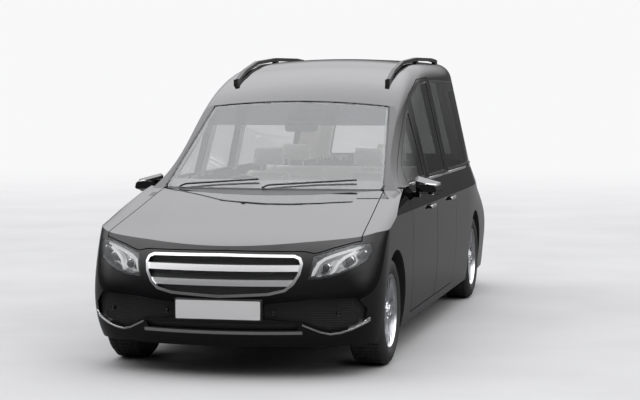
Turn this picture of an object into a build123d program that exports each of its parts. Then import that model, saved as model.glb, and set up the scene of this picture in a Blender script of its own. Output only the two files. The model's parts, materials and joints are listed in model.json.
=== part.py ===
from build123d import *
import os
from math import atan2, cos, radians, sin, tan

# Long-wheelbase estate hearse: glazed load space, four side doors, top-hinged tailgate.
# Millimetres, +Z up, nose towards -Y, origin on the ground under the middle of the car.
os.makedirs("parts", exist_ok=True)

# Driving dimensions of the car
LENGTH = 5900
FRONT_OVERHANG = 840
WHEELBASE = 3720
TRACK = 1570
TYRE_RADIUS = 337
TYRE_WIDTH = 235
BEAD_RADIUS = 234
SILL = 190
WAIST = 1080
BAND = 22
SHUT = 6
GLASS = 5
SKIN = 20
NOSE = -LENGTH / 2
TAIL = LENGTH / 2
FRONT_AXLE = NOSE + FRONT_OVERHANG
REAR_AXLE = FRONT_AXLE + WHEELBASE
WHEEL_X = TRACK / 2

# Cabin, bays and floors
FLOOR = 300
REAR_FLOOR = 480
FLOOR_THICK = 40
REAR_FLOOR_START = 4000
TUNNEL_HALF = 110
TUNNEL_RISE = 130
CABIN_HALF = 800
CABIN_START = 1560
FLOOR_START = CABIN_START + 4
FLANGE_START = CABIN_START + 14
CABIN_END = 5740
ARCH_RADIUS = 385
HOUSE_WALL = 14
FRONT_ARCH_INNER = 480
REAR_ARCH_INNER = 600
BAY_HALF = 466
BAY_START = 330
BAY_END = 1530
PILLAR = 45
PANE_INSET = 3
DECK = 765
DECK_START = 3800
DECK_END = 5600
FAR = 1200

# The sides run straight to this distance from the nose, then bend inwards on a large arc
TAPER_START = 4100
TAPER_RADIUS = 7000

# Plan outlines of the lower body
# columns: height, half width, nose set back, tail set in, nose corner, tail corner, share of the taper
BODY_PLANS = [
    (SILL, 890, 80, 70, 330, 400, 0.3),
    (310, 908, 14, 18, 340, 430, 0.35),
    (470, 922, 0, 0, 350, 440, 0.35),
    (640, 926, 40, 4, 360, 440, 0.4),
    (790, 926, 105, 22, 360, 430, 0.7),
    (930, 920, 200, 40, 360, 410, 1.0),
]
SHOULDER_PLANS = [
    (930, 920, 200, 40, 360, 410, 1.0),
    (WAIST, 864, 330, 56, 330, 370, 1.0),
]
NOSE_BOW = 300
TAIL_BOW = 170

# Cross-sections of the bonnet and wing tops
# columns: distance from the nose, height on the centre line, height at the edge, edge radius, crease
BONNET_SECTIONS = [
    (-80, 700, 672, 90, 470),
    (150, 800, 776, 100, 484),
    (600, 912, 888, 110, 545),
    (1050, 1004, 990, 110, 605),
    (1450, WAIST, WAIST - 8, 100, 655),
]
ENVELOPE_HALF = 962
CREASE_RISE = 8

# Cross-sections of the upper body
# columns: distance from the nose, centre height, edge height, half width at the roof, edge radius
ROOF_SECTIONS = [
    (1080, 1120, 1085, 850, 40),
    (2200, 1650, 1605, 700, 60),
    (2600, 1815, 1768, 695, 95),
    (3100, 1920, 1872, 688, 125),
    (3700, 1952, 1903, 685, 138),
    (4400, 1956, 1907, 683, 140),
    (5200, 1942, 1894, 678, 140),
    (6000, 1912, 1865, 672, 140),
]
# Plan outlines of the upper body: height, half width, tail corner radius
UPPER_BASE = 1000
UPPER_BASE_HALF = 880
UPPER_PLANS = [(UPPER_BASE, 884, 330), (2050, 657, 280)]
SCREEN_FOOT = 1190
SCREEN_RUN = 1.55
SCREEN_BOW = 80
SCREEN_RAKE = 32.8
TAILGATE_FOOT = 5860
TAILGATE_RUN = 0.2

# Side outlines, as distance from the nose and height
SEAM = [(2500, 250), (2522, 560), (2482, WAIST), (2462, 1690)]
FRONT_DOOR = [(1500, 250), *SEAM, (2262, 1580), (1628, 1182), (1474, 1068), (1468, 700)]
REAR_DOOR = [(3330, 250), (3420, 420), (3450, 640), (3402, WAIST), (3372, 1838), (2900, 1822),
             *[(d + SHUT, z + 8 * (z > WAIST)) for d, z in reversed(SEAM)]]
FRONT_WINDOW = [(1735, WAIST + BAND), (2412, WAIST + BAND), (2388, 1584), (2290, 1528), (1800, 1215)]
REAR_WINDOW = [(2545, WAIST + BAND), (3340, WAIST + BAND), (3292, 1776), (2900, 1762), (2546, 1657)]
QUARTER_WINDOW = [(3470, WAIST + BAND), (5150, WAIST + BAND), (5060, 1700), (4900, 1775), (3430, 1788)]
WING_ZONE = [(-150, 100), (1464, 100), (1464, 1200), (-150, 1200)]
BUMPER_ZONE = [(-150, 100), (540, 100), (540, 600), (470, 640), (330, 720), (240, 830), (-150, 830)]
REAR_BUMPER_ZONE = [(4960, 100), (6100, 100), (6100, 552), (5420, 640), (4930, 560)]
DOOR_DRAFT = 8
PLUG_FACE = 935
PLUG_END = 540
WINDOW_CORNER = 24

# Front and rear outlines, as width and height
SCREEN_LOW = (755, 1062)
SCREEN_HIGH = (640, 1600)
SCREEN_CROWN = 1636
HEADLAMP = [(520, 600), (601, 603), (693, 626), (770, 662), (838, 702), (868, 760), (854, 800), (760, 797),
            (655, 768), (578, 742), (544, 736), (538, 682)]
LIGHT_BARS = [[(533, 616), (550, 620), (578, 683), (611, 709), (672, 733), (800, 772), (796, 787), (666, 749),
               (601, 725), (561, 696)],
              [(646, 634), (662, 636), (690, 687), (717, 713), (777, 748), (770, 763), (706, 728), (675, 697)]]
GRILLE_HALF = [(0, 492), (300, 508), (396, 530), (444, 570), (478, 630), (489, 694), (474, 730), (436, 745), (0, 751)]
GRILLE = GRILLE_HALF + [(-x, z) for x, z in GRILLE_HALF[-2:0:-1]]
GRILLE_CORNER = 24
GRILLE_RIM = 17
GRILLE_BARS = (561, 647)
GRILLE_BAR = 37
INTAKE = [(270, 455), (560, 484), (800, 487), (850, 420), (838, 345), (735, 300), (640, 284), (575, 304),
          (490, 347), (270, 368)]
LOWER_INTAKE = [(-462, 300), (462, 300), (478, 336), (-478, 336)]
LOWER_STRIP = [(-490, 272), (490, 272), (490, 289), (-490, 289)]
TAIL_LAMP = [(664, 760), (1000, 770), (1000, 930), (664, 945)]
TAIL_LAMP_START = 5480
TAILGATE = [(-640, 560), (640, 560), (650, WAIST), (468, 1850), (-468, 1850), (-650, WAIST)]
TAIL_WINDOW = [(-560, WAIST + 40), (560, WAIST + 40), (425, 1785), (-425, 1785)]
BONNET_EDGE = [(0, 764), (490, 760), (546, 748), (576, 753), (655, 779), (772, 809), (1000, 840)]

# Left edge of the bonnet, as width and distance from the nose
BONNET_SIDE = [(806, -150), (806, 330), (752, 1360)]
BONNET_REAR = 1165
ROOF_HALF = 600

# Controls and seats, side profiles as distance from the nose and height
STEER_X = 370
STEER_CENTRE = (2110, 946)
STEER_TILT = 25
DASHBOARD = [(FLOOR_START, 600), (FLOOR_START, 1030), (1900, 1010), (1990, 960), (1985, 900), (1900, 830),
             (1860, 600)]
CUSHION = [(2160, 500), (2150, 620), (2570, 590), (2640, 470), (2300, 460)]
BACKREST = [(2540, 520), (2560, 640), (2690, 1140), (2800, 1150), (2735, 620), (2680, 490)]
HEADREST = [(2716, 1140), (2728, 1300), (2800, 1310), (2806, 1140)]
BENCH_SHIFT = 880
RAIL_X = 560
RAIL = [(2540, 1752), (2750, 1822), (3100, 1887), (3700, 1920), (4400, 1924), (4650, 1915)]

# Half profiles of the tyre and the rim, as width and radius
TYRE_PROFILE = [(100, BEAD_RADIUS), (111, 258), (TYRE_WIDTH / 2, 288), (106, 322), (86, TYRE_RADIUS)]
RIM_PROFILE = [(-102, 224), (-102, 232), (-84, 232), (-60, 222), (70, 222), (92, 232), (104, 232), (104, 226),
               (92, 218), (60, 214), (-60, 214), (-90, 222)]
SPOKE = [(52, 6), (150, 13), (221, 30), (221, 58), (150, 34), (56, 26)]
SPOKE_FACE = 56
DISC_RADIUS = 150


def from_nose(distance):
    return NOSE + distance


def taper(distance):
    """How far the side has moved inwards at a distance from the nose."""
    return max(0, distance - TAPER_START) ** 2 / (2 * TAPER_RADIUS)


def largest(part):
    return part.solids().sort_by(SortBy.VOLUME)[-1]


def plan_face(height, half, front, back, nose_radius, tail_radius, share=1, nose_bow=NOSE_BOW):
    """One plan outline: bowed nose, straight sides, tapering rear sides and bowed tail."""
    start, end = from_nose(TAPER_START), back - TAIL_BOW
    rear_half = half - share * taper(end - NOSE)
    with BuildSketch(Plane.XY.offset(height)) as outline:
        with BuildLine():
            ThreePointArc((-half, front + nose_bow), (0, front), (half, front + nose_bow))
            Line((half, front + nose_bow), (half, start))
            TangentArc((half, start), (rear_half, end), tangent=(0, 1))
            ThreePointArc((rear_half, end), (0, back), (-rear_half, end))
            TangentArc((-half, start), (-rear_half, end), tangent=(0, 1))
            Line((-half, start), (-half, front + nose_bow))
        make_face()
        fillet(outline.vertices().sort_by(Axis.Y)[:2], nose_radius)
        fillet(outline.vertices().sort_by(Axis.Y)[-2:], tail_radius)
    return outline.sketch.face()


def crown_face(distance, low, low_half, centre, edge, edge_half, radius, crease=0):
    """One cross-section with a crowned top, rounded top edges and, if asked, a raised middle."""
    crown_angle = 2 * atan2(centre - edge, edge_half)
    side = Vector(edge_half - low_half, edge - low).normalized()
    crown = Vector(-cos(crown_angle), sin(crown_angle))
    reach = radius * tan(radians(side.get_angle(crown)) / 2)
    below = Vector(edge_half, edge) - side * reach
    inside = Vector(edge_half, edge) + crown * reach
    with BuildSketch(Plane.XZ.offset(-from_nose(distance))) as section:
        with BuildLine():
            Polyline((-below.X, below.Y), (-low_half, low), (low_half, low), (below.X, below.Y))
            TangentArc((below.X, below.Y), (inside.X, inside.Y), tangent=(side.X, side.Y))
            if crease:
                rise = centre - (centre - edge) * (crease / edge_half) ** 2 + CREASE_RISE
                Line((inside.X, inside.Y), (crease, rise))
                ThreePointArc((crease, rise), (0, centre + CREASE_RISE), (-crease, rise))
                Line((-crease, rise), (-inside.X, inside.Y))
            else:
                ThreePointArc((inside.X, inside.Y), (0, centre), (-inside.X, inside.Y))
            TangentArc((-below.X, below.Y), (-inside.X, inside.Y), tangent=(-side.X, side.Y))
        make_face()
    return section.sketch.face()


def lower_form():
    """Outer form of the body below the waist."""
    with BuildPart() as envelope:
        loft([crown_face(distance, 0, ENVELOPE_HALF, centre, edge, ENVELOPE_HALF, radius, crease)
              for distance, centre, edge, radius, crease in BONNET_SECTIONS])
        with BuildSketch(Plane.XZ.offset(-from_nose(BONNET_SECTIONS[-1][0]))):
            with Locations((0, WAIST / 2)):
                Rectangle(2 * ENVELOPE_HALF, WAIST)
        extrude(amount=-LENGTH)
    with BuildPart() as form:
        for plans, straight in ((BODY_PLANS, False), (SHOULDER_PLANS, True)):
            loft([plan_face(height, half, NOSE + nose, TAIL - tail, nose_corner, tail_corner, share)
                  for height, half, nose, tail, nose_corner, tail_corner, share in plans], ruled=straight)
        add(envelope.part, mode=Mode.INTERSECT)
    return form.part


def upper_form(inset=0):
    """Form of the glazed upper body, moved inwards by an inset."""
    screen_shift = inset / sin(radians(SCREEN_RAKE))
    plans = []
    for height, half, radius in UPPER_PLANS:
        run = height - UPPER_BASE
        front = from_nose(SCREEN_FOOT + SCREEN_RUN * run) + screen_shift
        back = from_nose(TAILGATE_FOOT - TAILGATE_RUN * run) - inset
        plans.append(plan_face(height, half - inset, front, back, 20, radius - inset, nose_bow=SCREEN_BOW))
    with BuildPart() as form:
        loft([crown_face(distance, UPPER_BASE, UPPER_BASE_HALF - inset - taper(distance), centre - inset,
                         edge - inset, roof_half - inset - taper(distance), max(radius - inset, 15))
              for distance, centre, edge, roof_half, radius in ROOF_SECTIONS])
        loft(plans, ruled=True, mode=Mode.INTERSECT)
    return form.part


def block(x0, x1, d0, d1, z0, z1):
    """Box between two widths, two distances from the nose and two heights."""
    return Pos(x0, from_nose(d0), z0) * Box(x1 - x0, d1 - d0, z1 - z0, align=Align.MIN, mode=Mode.PRIVATE)


def side_prism(points, near=400, grow=0, corner=0):
    """Prism through the left side over an outline of distances from the nose and heights."""
    with BuildPart() as prism:
        with BuildSketch(Plane.YZ.offset(near)) as outline:
            Polygon(*[(from_nose(d), z) for d, z in points], align=None)
            if corner:
                fillet(outline.vertices(), corner)
            if grow:
                offset(amount=grow, kind=Kind.INTERSECTION)
        extrude(amount=FAR - near)
    return prism.part


def door_plug(points, grow=0):
    """Plug over a door's outline that narrows towards the cabin, so that the door can swing out."""
    with BuildPart() as plug:
        with BuildSketch(Plane(origin=(PLUG_FACE, 0, 0), x_dir=(0, 1, 0), z_dir=(-1, 0, 0))):
            Polygon(*[(from_nose(d), -z) for d, z in points], align=None)
            if grow:
                offset(amount=grow, kind=Kind.INTERSECTION)
        extrude(amount=PLUG_FACE - PLUG_END, taper=DOOR_DRAFT)
    return plug.part


def end_prism(points, d0, d1, grow=0, corner=0):
    """Prism along the car over an outline of widths and heights."""
    with BuildPart() as prism:
        with BuildSketch(Plane.XZ.offset(-from_nose(d0))) as outline:
            Polygon(*points, align=None)
            if corner:
                fillet(outline.vertices(), corner)
            if grow:
                offset(amount=grow, kind=Kind.INTERSECTION)
        extrude(amount=-(d1 - d0))
    return prism.part


def screen_prism():
    """Prism over the windscreen's outline with its arched top."""
    (low_x, low_z), (high_x, high_z) = SCREEN_LOW, SCREEN_HIGH
    with BuildPart() as prism:
        with BuildSketch(Plane.XZ.offset(-from_nose(900))) as outline:
            with BuildLine():
                Polyline((high_x, high_z), (low_x, low_z), (-low_x, low_z), (-high_x, high_z))
                ThreePointArc((-high_x, high_z), (0, SCREEN_CROWN), (high_x, high_z))
            make_face()
            fillet(outline.vertices(), WINDOW_CORNER)
        extrude(amount=-2000)
    return prism.part


def bonnet_zone(grow=0):
    """Space over the bonnet: inside its side seams and above its front edge."""
    rear_x, rear_d = BONNET_SIDE[-1]
    high = [(1000, 1300), (-1000, 1300)]
    with BuildPart() as zone:
        with BuildSketch(Plane.XY.offset(600)):
            with BuildLine():
                Polyline(*[(x, from_nose(d)) for x, d in BONNET_SIDE])
                ThreePointArc((rear_x, from_nose(rear_d)), (0, from_nose(BONNET_REAR)), (-rear_x, from_nose(rear_d)))
                Polyline(*[(-x, from_nose(d)) for x, d in BONNET_SIDE])
                Line([(x, from_nose(d)) for x, d in (BONNET_SIDE[0], (-BONNET_SIDE[0][0], BONNET_SIDE[0][1]))])
            make_face()
            if grow:
                offset(amount=grow, kind=Kind.INTERSECTION)
        extrude(amount=800)
        with BuildSketch(Plane.XZ.offset(-from_nose(-400))):
            Polygon(*(BONNET_EDGE + high + [(-x, z) for x, z in BONNET_EDGE[:0:-1]]), align=None)
            if grow:
                offset(amount=grow, kind=Kind.INTERSECTION)
        extrude(amount=-2400, mode=Mode.INTERSECT)
    return zone.part


def wheel_bay(axle, radius, inner, outer):
    """Round bay over one left wheel, between two widths."""
    return Pos(inner, axle, TYRE_RADIUS) * Cylinder(radius, outer - inner, rotation=(0, 90, 0),
                                                    align=(Align.CENTER, Align.CENTER, Align.MIN), mode=Mode.PRIVATE)


def mirrored(part):
    return mirror(part, about=Plane.YZ)


def shifted(part, x, y, z):
    return part.moved(Location((x, y, z)))


def write(name, part):
    """Labels a finished piece and writes it."""
    part.label = name
    export_step(part, f"parts/{name}.step")


def write_pair(name, part):
    """Writes a left-hand piece and its mirror image."""
    write(f"{name}_left", part)
    write(f"{name}_right", mirrored(part))


def write_both(name, *parts):
    """Writes left-hand solids and their mirror images as one node."""
    write(name, Compound(children=[*parts, *[mirrored(part) for part in parts]]))


lower = lower_form()
upper = upper_form()
with BuildPart() as pane_form:
    add(upper_form(PANE_INSET))
    add(upper_form(PANE_INSET + GLASS), mode=Mode.SUBTRACT)

# Hollow of the cabin and load space
with BuildPart() as hollow:
    with BuildSketch(Plane.XY):
        add(plan_face(0, CABIN_HALF, from_nose(CABIN_START), from_nose(CABIN_END), 10, 300, nose_bow=1))
    extrude(amount=WAIST - 40)
    add(upper_form(PILLAR))

# Body skin: outer form less cabin, engine bay and wheel bays
with BuildPart() as skin:
    add(lower)
    add(upper)
    add(hollow.part, mode=Mode.SUBTRACT)
    add(block(-BAY_HALF, BAY_HALF, BAY_START, BAY_END, 0, 930), mode=Mode.SUBTRACT)
    add(block(-BAY_HALF, BAY_HALF, BAY_END - 1, CABIN_START + 40, 0, FLOOR - FLOOR_THICK), mode=Mode.SUBTRACT)
    add(bonnet_zone(), mode=Mode.SUBTRACT)
    with BuildPart(mode=Mode.PRIVATE) as rear_house:
        add(wheel_bay(REAR_AXLE, ARCH_RADIUS + HOUSE_WALL, REAR_ARCH_INNER - HOUSE_WALL, 850))
        add(block(0, 1500, 0, 6000, SILL, 2000), mode=Mode.INTERSECT)
    add(rear_house.part)
    add(mirrored(rear_house.part))
    for axle, inner in ((FRONT_AXLE, FRONT_ARCH_INNER), (REAR_AXLE, REAR_ARCH_INNER)):
        add(wheel_bay(axle, ARCH_RADIUS, inner, FAR), mode=Mode.SUBTRACT)
        add(mirrored(wheel_bay(axle, ARCH_RADIUS, inner, FAR)), mode=Mode.SUBTRACT)
    for axle, reach, height in ((FRONT_AXLE, 70, TYRE_RADIUS - 100), (REAR_AXLE, 75, TYRE_RADIUS)):
        with Locations((0, axle, height)):
            Box(2 * 620, 2 * reach, 2 * reach, mode=Mode.SUBTRACT)

# Cowl and bulkhead between the engine bay and the cabin
with BuildPart() as cowl_zone:
    add(block(-CABIN_HALF + 1, CABIN_HALF - 1, 1150, 1600, 0, WAIST - 40))
    add(block(-SCREEN_LOW[0], SCREEN_LOW[0], 1150, 1600, WAIST - 41, SCREEN_LOW[1]))
with BuildPart() as cowl:
    add(skin.part)
    add(cowl_zone.part, mode=Mode.INTERSECT)
write("cowl_bulkhead", largest(cowl.part))

with BuildPart() as side:
    add(skin.part)
    add(cowl_zone.part, mode=Mode.SUBTRACT)
    add(block(0, 1500, -200, 6200, -50, 2300), mode=Mode.INTERSECT)

# Bonnet
with BuildPart() as bonnet:
    add(lower)
    add(bonnet_zone(-SHUT), mode=Mode.INTERSECT)
    add(shifted(lower, 0, 0.7 * SKIN, -SKIN), mode=Mode.SUBTRACT)
write("bonnet", largest(bonnet.part))


def door(outline, window):
    """One left door, cut from the side by a plug and opened by its window."""
    with BuildPart() as panel:
        add(side.part)
        add(door_plug(outline), mode=Mode.INTERSECT)
        add(side_prism(window, corner=WINDOW_CORNER), mode=Mode.SUBTRACT)
    return largest(panel.part)


def side_pane(window):
    """One left pane that fills a window."""
    with BuildPart() as pane:
        add(pane_form.part)
        add(side_prism(window, corner=WINDOW_CORNER), mode=Mode.INTERSECT)
    return largest(pane.part)


def handle(distance, height):
    """Pull handle on two feet, standing off the door's skin."""
    face = 906
    with BuildPart() as bar:
        for foot in (-85, 85):
            add(block(face, face + 30, distance + foot - 12, distance + foot + 12, height - 9, height + 9))
        with BuildSketch(Plane.YZ.offset(face + 26)):
            with Locations((from_nose(distance), height)):
                SlotOverall(216, 26)
        extrude(amount=16)
        chamfer(bar.faces().sort_by(Axis.X)[-1].edges(), 4)
    return bar.part


# Doors with their handles, and their glass
for name, outline, window, grip in (("front", FRONT_DOOR, FRONT_WINDOW, 2225), ("rear", REAR_DOOR, REAR_WINDOW, 3170)):
    with BuildPart() as leaf:
        add(door(outline, window))
        add(handle(grip, 908))
    write_pair(f"door_{name}", largest(leaf.part))
    write_pair(f"glass_{name}", side_pane(window))
write_both("quarter_glass", side_pane(QUARTER_WINDOW))

# Windscreen
with BuildPart() as windscreen:
    add(pane_form.part)
    add(screen_prism(), mode=Mode.INTERSECT)
write("windscreen", largest(windscreen.part))

# Tailgate and its glass
with BuildPart() as tailgate:
    add(skin.part)
    add(end_prism(TAILGATE, 5400, 6200, corner=40), mode=Mode.INTERSECT)
    add(end_prism(TAIL_WINDOW, 5400, 6200, corner=WINDOW_CORNER), mode=Mode.SUBTRACT)
write("tailgate", largest(tailgate.part))
with BuildPart() as tailgate_glass:
    add(pane_form.part)
    add(end_prism(TAIL_WINDOW, 5400, 6200, corner=WINDOW_CORNER), mode=Mode.INTERSECT)
write("tailgate_glass", largest(tailgate_glass.part))

# Openings of the doors, windows and tailgate in the side
with BuildPart() as open_side:
    add(side.part)
    for outline in (FRONT_DOOR, REAR_DOOR):
        add(door_plug(outline, grow=SHUT), mode=Mode.SUBTRACT)
    add(side_prism(QUARTER_WINDOW, corner=WINDOW_CORNER), mode=Mode.SUBTRACT)
    add(screen_prism(), mode=Mode.SUBTRACT)
    add(end_prism(TAILGATE, 5400, 6200, grow=SHUT, corner=40), mode=Mode.SUBTRACT)

# The wing ends where the screen pillar grows out of it
with BuildPart() as wing_zone:
    add(side_prism(WING_ZONE, near=-5))
    add(upper, mode=Mode.SUBTRACT)
with BuildPart() as front_end:
    add(open_side.part)
    add(wing_zone.part, mode=Mode.INTERSECT)
    add(end_prism(HEADLAMP, 0, 480), mode=Mode.SUBTRACT)
bumper_zone = side_prism(BUMPER_ZONE, near=-5)
with BuildPart() as wing:
    add(front_end.part)
    add(bumper_zone, mode=Mode.SUBTRACT)
write_both("front_wings", largest(wing.part))
with BuildPart() as half_bumper:
    add(front_end.part)
    add(bumper_zone, mode=Mode.INTERSECT)
    add(end_prism(GRILLE, -100, BAY_START, corner=GRILLE_CORNER), mode=Mode.SUBTRACT)
    for opening in (INTAKE, LOWER_INTAKE, LOWER_STRIP):
        add(end_prism(opening, -100, BAY_START), mode=Mode.SUBTRACT)
with BuildPart() as front_bumper:
    add(half_bumper.part)
    add(mirrored(half_bumper.part))
write("front_bumper", largest(front_bumper.part))


def nose_layer(near, far, tool):
    """Layer of the nose between two depths, inside a tool."""
    with BuildPart() as layer:
        add(shifted(lower, 0, near, 0))
        add(shifted(lower, 0, far, 0), mode=Mode.SUBTRACT)
        add(tool, mode=Mode.INTERSECT)
    return layer.part


# Radiator grille: rim, two bars, bright lower strip and the meshes behind
grille_tool = end_prism(GRILLE, -100, 400, corner=GRILLE_CORNER)
with BuildPart() as grille:
    add(nose_layer(-6, 40, grille_tool))
    add(end_prism(GRILLE, -100, 400, grow=-GRILLE_RIM, corner=GRILLE_CORNER), mode=Mode.SUBTRACT)
    for low in GRILLE_BARS:
        with BuildPart(mode=Mode.PRIVATE) as bar:
            add(nose_layer(2, 38, end_prism([(-480, low), (480, low), (480, low + GRILLE_BAR),
                                             (-480, low + GRILLE_BAR)], -100, 400)))
            add(grille_tool, mode=Mode.INTERSECT)
        add(bar.part)
strip = nose_layer(-4, 12, end_prism(LOWER_STRIP, -100, 400))
intake_mesh = largest(nose_layer(36, 44, end_prism(INTAKE, -100, 400)))
write("radiator_grille", Compound(children=[largest(part) for part in (
    grille.part, strip, nose_layer(48, 58, grille_tool), intake_mesh, mirrored(intake_mesh),
    nose_layer(30, 38, end_prism(LOWER_INTAKE, -100, 400)))]))

# Headlamps: clear cover over a bowl with two slanted light bars
lamp_tool = end_prism(HEADLAMP, 0, 480)
with BuildPart() as lamp_cover:
    add(lower)
    add(shifted(lower, -4, 6, -2), mode=Mode.SUBTRACT)
    add(lamp_tool, mode=Mode.INTERSECT)
with BuildPart() as lamp_bowl:
    add(shifted(lower, -4.3, 6.4, -2.2))
    add(lamp_tool, mode=Mode.INTERSECT)
    with BuildPart(mode=Mode.PRIVATE) as pocket:
        add(shifted(lower, -4, 6, -2))
        add(shifted(lower, -30, 80, -14), mode=Mode.SUBTRACT)
        add(end_prism(HEADLAMP, 0, 480, grow=-12), mode=Mode.INTERSECT)
    add(pocket.part, mode=Mode.SUBTRACT)
    for outline in LIGHT_BARS:
        with BuildPart(mode=Mode.PRIVATE) as light_bar:
            add(shifted(lower, -12, 22, -6))
            add(shifted(lower, -32, 84, -15), mode=Mode.SUBTRACT)
            add(end_prism(outline, 0, 480), mode=Mode.INTERSECT)
        add(light_bar.part)
write_both("headlamps", largest(lamp_bowl.part), largest(lamp_cover.part))

# Rear bumper, tail lamps, roof and side frames
with BuildPart() as rear_end:
    add(open_side.part)
    add(wing_zone.part, mode=Mode.SUBTRACT)
rear_bumper_zone = side_prism(REAR_BUMPER_ZONE, near=-5)
with BuildPart() as half_rear_bumper:
    add(rear_end.part)
    add(rear_bumper_zone, mode=Mode.INTERSECT)
with BuildPart() as rear_bumper:
    add(half_rear_bumper.part)
    add(mirrored(half_rear_bumper.part))
write("rear_bumper", largest(rear_bumper.part))
tail_lamp_tool = end_prism(TAIL_LAMP, TAIL_LAMP_START, 6200)
with BuildPart() as tail_lamp:
    add(rear_end.part)
    add(tail_lamp_tool, mode=Mode.INTERSECT)
write_both("tail_lamps", largest(tail_lamp.part))
with BuildPart() as roof_zone:
    with BuildSketch(Plane.XY.offset(1500)):
        add(plan_face(1500, ROOF_HALF, from_nose(1500), from_nose(6100), 1, 1, nose_bow=1).moved(Pos(0, 0, -1500)))
    extrude(amount=800)
with BuildPart() as half_roof:
    add(rear_end.part)
    add(roof_zone.part, mode=Mode.INTERSECT)
with BuildPart() as roof:
    add(largest(half_roof.part))
    add(mirrored(largest(half_roof.part)))
write("roof", largest(roof.part))
with BuildPart() as side_frame:
    add(rear_end.part)
    for tool in (rear_bumper_zone, tail_lamp_tool, roof_zone.part):
        add(tool, mode=Mode.SUBTRACT)
write_pair("side_frame", largest(side_frame.part))

# Floor: front pan with its tunnel, raised rear pan and sill flanges
with BuildPart() as floor:
    add(block(-CABIN_HALF + SHUT, CABIN_HALF - SHUT, FLOOR_START, REAR_FLOOR_START + FLOOR_THICK,
              FLOOR - FLOOR_THICK, FLOOR))
    add(block(-CABIN_HALF + SHUT, CABIN_HALF - SHUT, REAR_FLOOR_START, REAR_FLOOR_START + FLOOR_THICK,
              FLOOR - FLOOR_THICK, REAR_FLOOR))
    add(block(-TUNNEL_HALF, TUNNEL_HALF, FLOOR_START, REAR_FLOOR_START, FLOOR, FLOOR + TUNNEL_RISE))
    for x in (-CABIN_HALF, CABIN_HALF - 30):
        add(block(x, x + 30, FLANGE_START, REAR_FLOOR_START, 205, FLOOR - FLOOR_THICK + 1))
    with BuildSketch(Plane.XY.offset(REAR_FLOOR - FLOOR_THICK)):
        add(plan_face(0, CABIN_HALF - 1, from_nose(REAR_FLOOR_START), from_nose(CABIN_END - 1), 1, 299, nose_bow=1))
    extrude(amount=FLOOR_THICK)
    for bay in (wheel_bay(REAR_AXLE, ARCH_RADIUS + HOUSE_WALL + 1, REAR_ARCH_INNER - HOUSE_WALL - 1, FAR),):
        add(bay, mode=Mode.SUBTRACT)
        add(mirrored(bay), mode=Mode.SUBTRACT)
write("floor_pan", largest(floor.part))

with BuildPart() as engine:
    add(block(-270, 270, 470, 1140, 255, 700))
write("engine_block", engine.part)

# Front subframe with its lower arms
with BuildPart() as subframe:
    add(block(-330, 330, 740, 940, 195, 245))
    for x in (-350, 290):
        add(block(x, x + 60, 500, 1500, 195, 245))
    with BuildSketch(Plane.XY.offset(222)):
        for side_x in (-1, 1):
            Polygon((side_x * 340, FRONT_AXLE - 60), (side_x * 700, FRONT_AXLE - 22), (side_x * 700, FRONT_AXLE + 22),
                    (side_x * 340, FRONT_AXLE + 60), align=None)
    extrude(amount=26)
    for x in (-BAY_HALF, 330):
        add(block(x, x + BAY_HALF - 330, 520, 570, 195, 245))


def caliper(axle):
    """Brake caliper that straddles the disc behind the axle, on its bracket."""
    with BuildPart() as body:
        with Locations((WHEEL_X - 36, axle + 148, TYRE_RADIUS)):
            Box(84, 84, 130)
        fillet(body.edges().filter_by(Axis.X), 24)
        with Locations((WHEEL_X - 90, axle + 90, TYRE_RADIUS)):
            Box(24, 150, 60)
        with Locations((WHEEL_X - 28, axle, TYRE_RADIUS)):
            Cylinder(DISC_RADIUS + 6, 36, rotation=(0, 90, 0), mode=Mode.SUBTRACT)
    return body.part


def hub_carrier(axle):
    """Bearing housing inside the wheel, with its caliper."""
    with BuildPart() as carrier:
        with Locations((WHEEL_X - 90, axle, TYRE_RADIUS)):
            Cylinder(62, 60, rotation=(0, 90, 0))
        add(caliper(axle))
    return carrier.part


# Rear axle carrier with arms, hub carriers and calipers
with BuildPart() as rear_axle:
    add(block(-300, 300, 4460, 4660, 230, 400))
    with Locations((0, REAR_AXLE, TYRE_RADIUS)):
        Cylinder(26, 2 * (WHEEL_X - 62), rotation=(0, 90, 0))
    add(hub_carrier(REAR_AXLE))
    add(mirrored(hub_carrier(REAR_AXLE)))
    for x in (-240, 180):
        add(block(x, x + 60, 4500, 4620, 395, REAR_FLOOR - FLOOR_THICK))
write("axle_carriers", Compound(children=[subframe.part, rear_axle.part]))

# Exhaust: pipe past the axle, middle silencer and rear silencer
with BuildPart() as exhaust:
    with BuildLine() as route:
        FilletPolyline((200, from_nose(1600), 214), (200, from_nose(4230), 214), (200, from_nose(4400), 186),
                       (200, from_nose(4740), 186), (200, from_nose(5060), 320), (200, from_nose(5300), 320), radius=90)
    with BuildSketch(Plane(origin=(200, from_nose(1600), 214), z_dir=(0, 1, 0))):
        Circle(28)
    sweep(path=route.line)
    for start, run, height, wide, high in ((2300, 520, 206, 210, 92), (5020, 540, 330, 420, 170)):
        with BuildSketch(Plane(origin=(200, from_nose(start), height), x_dir=(1, 0, 0), z_dir=(0, 1, 0))):
            RectangleRounded(wide, high, high / 2 - 4)
        extrude(amount=run)
    add(block(180, 220, 5200, 5240, 400, REAR_FLOOR - FLOOR_THICK))
    add(block(180, 220, 2500, 2540, 240, FLOOR - FLOOR_THICK))
write("exhaust", exhaust.part)

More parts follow.
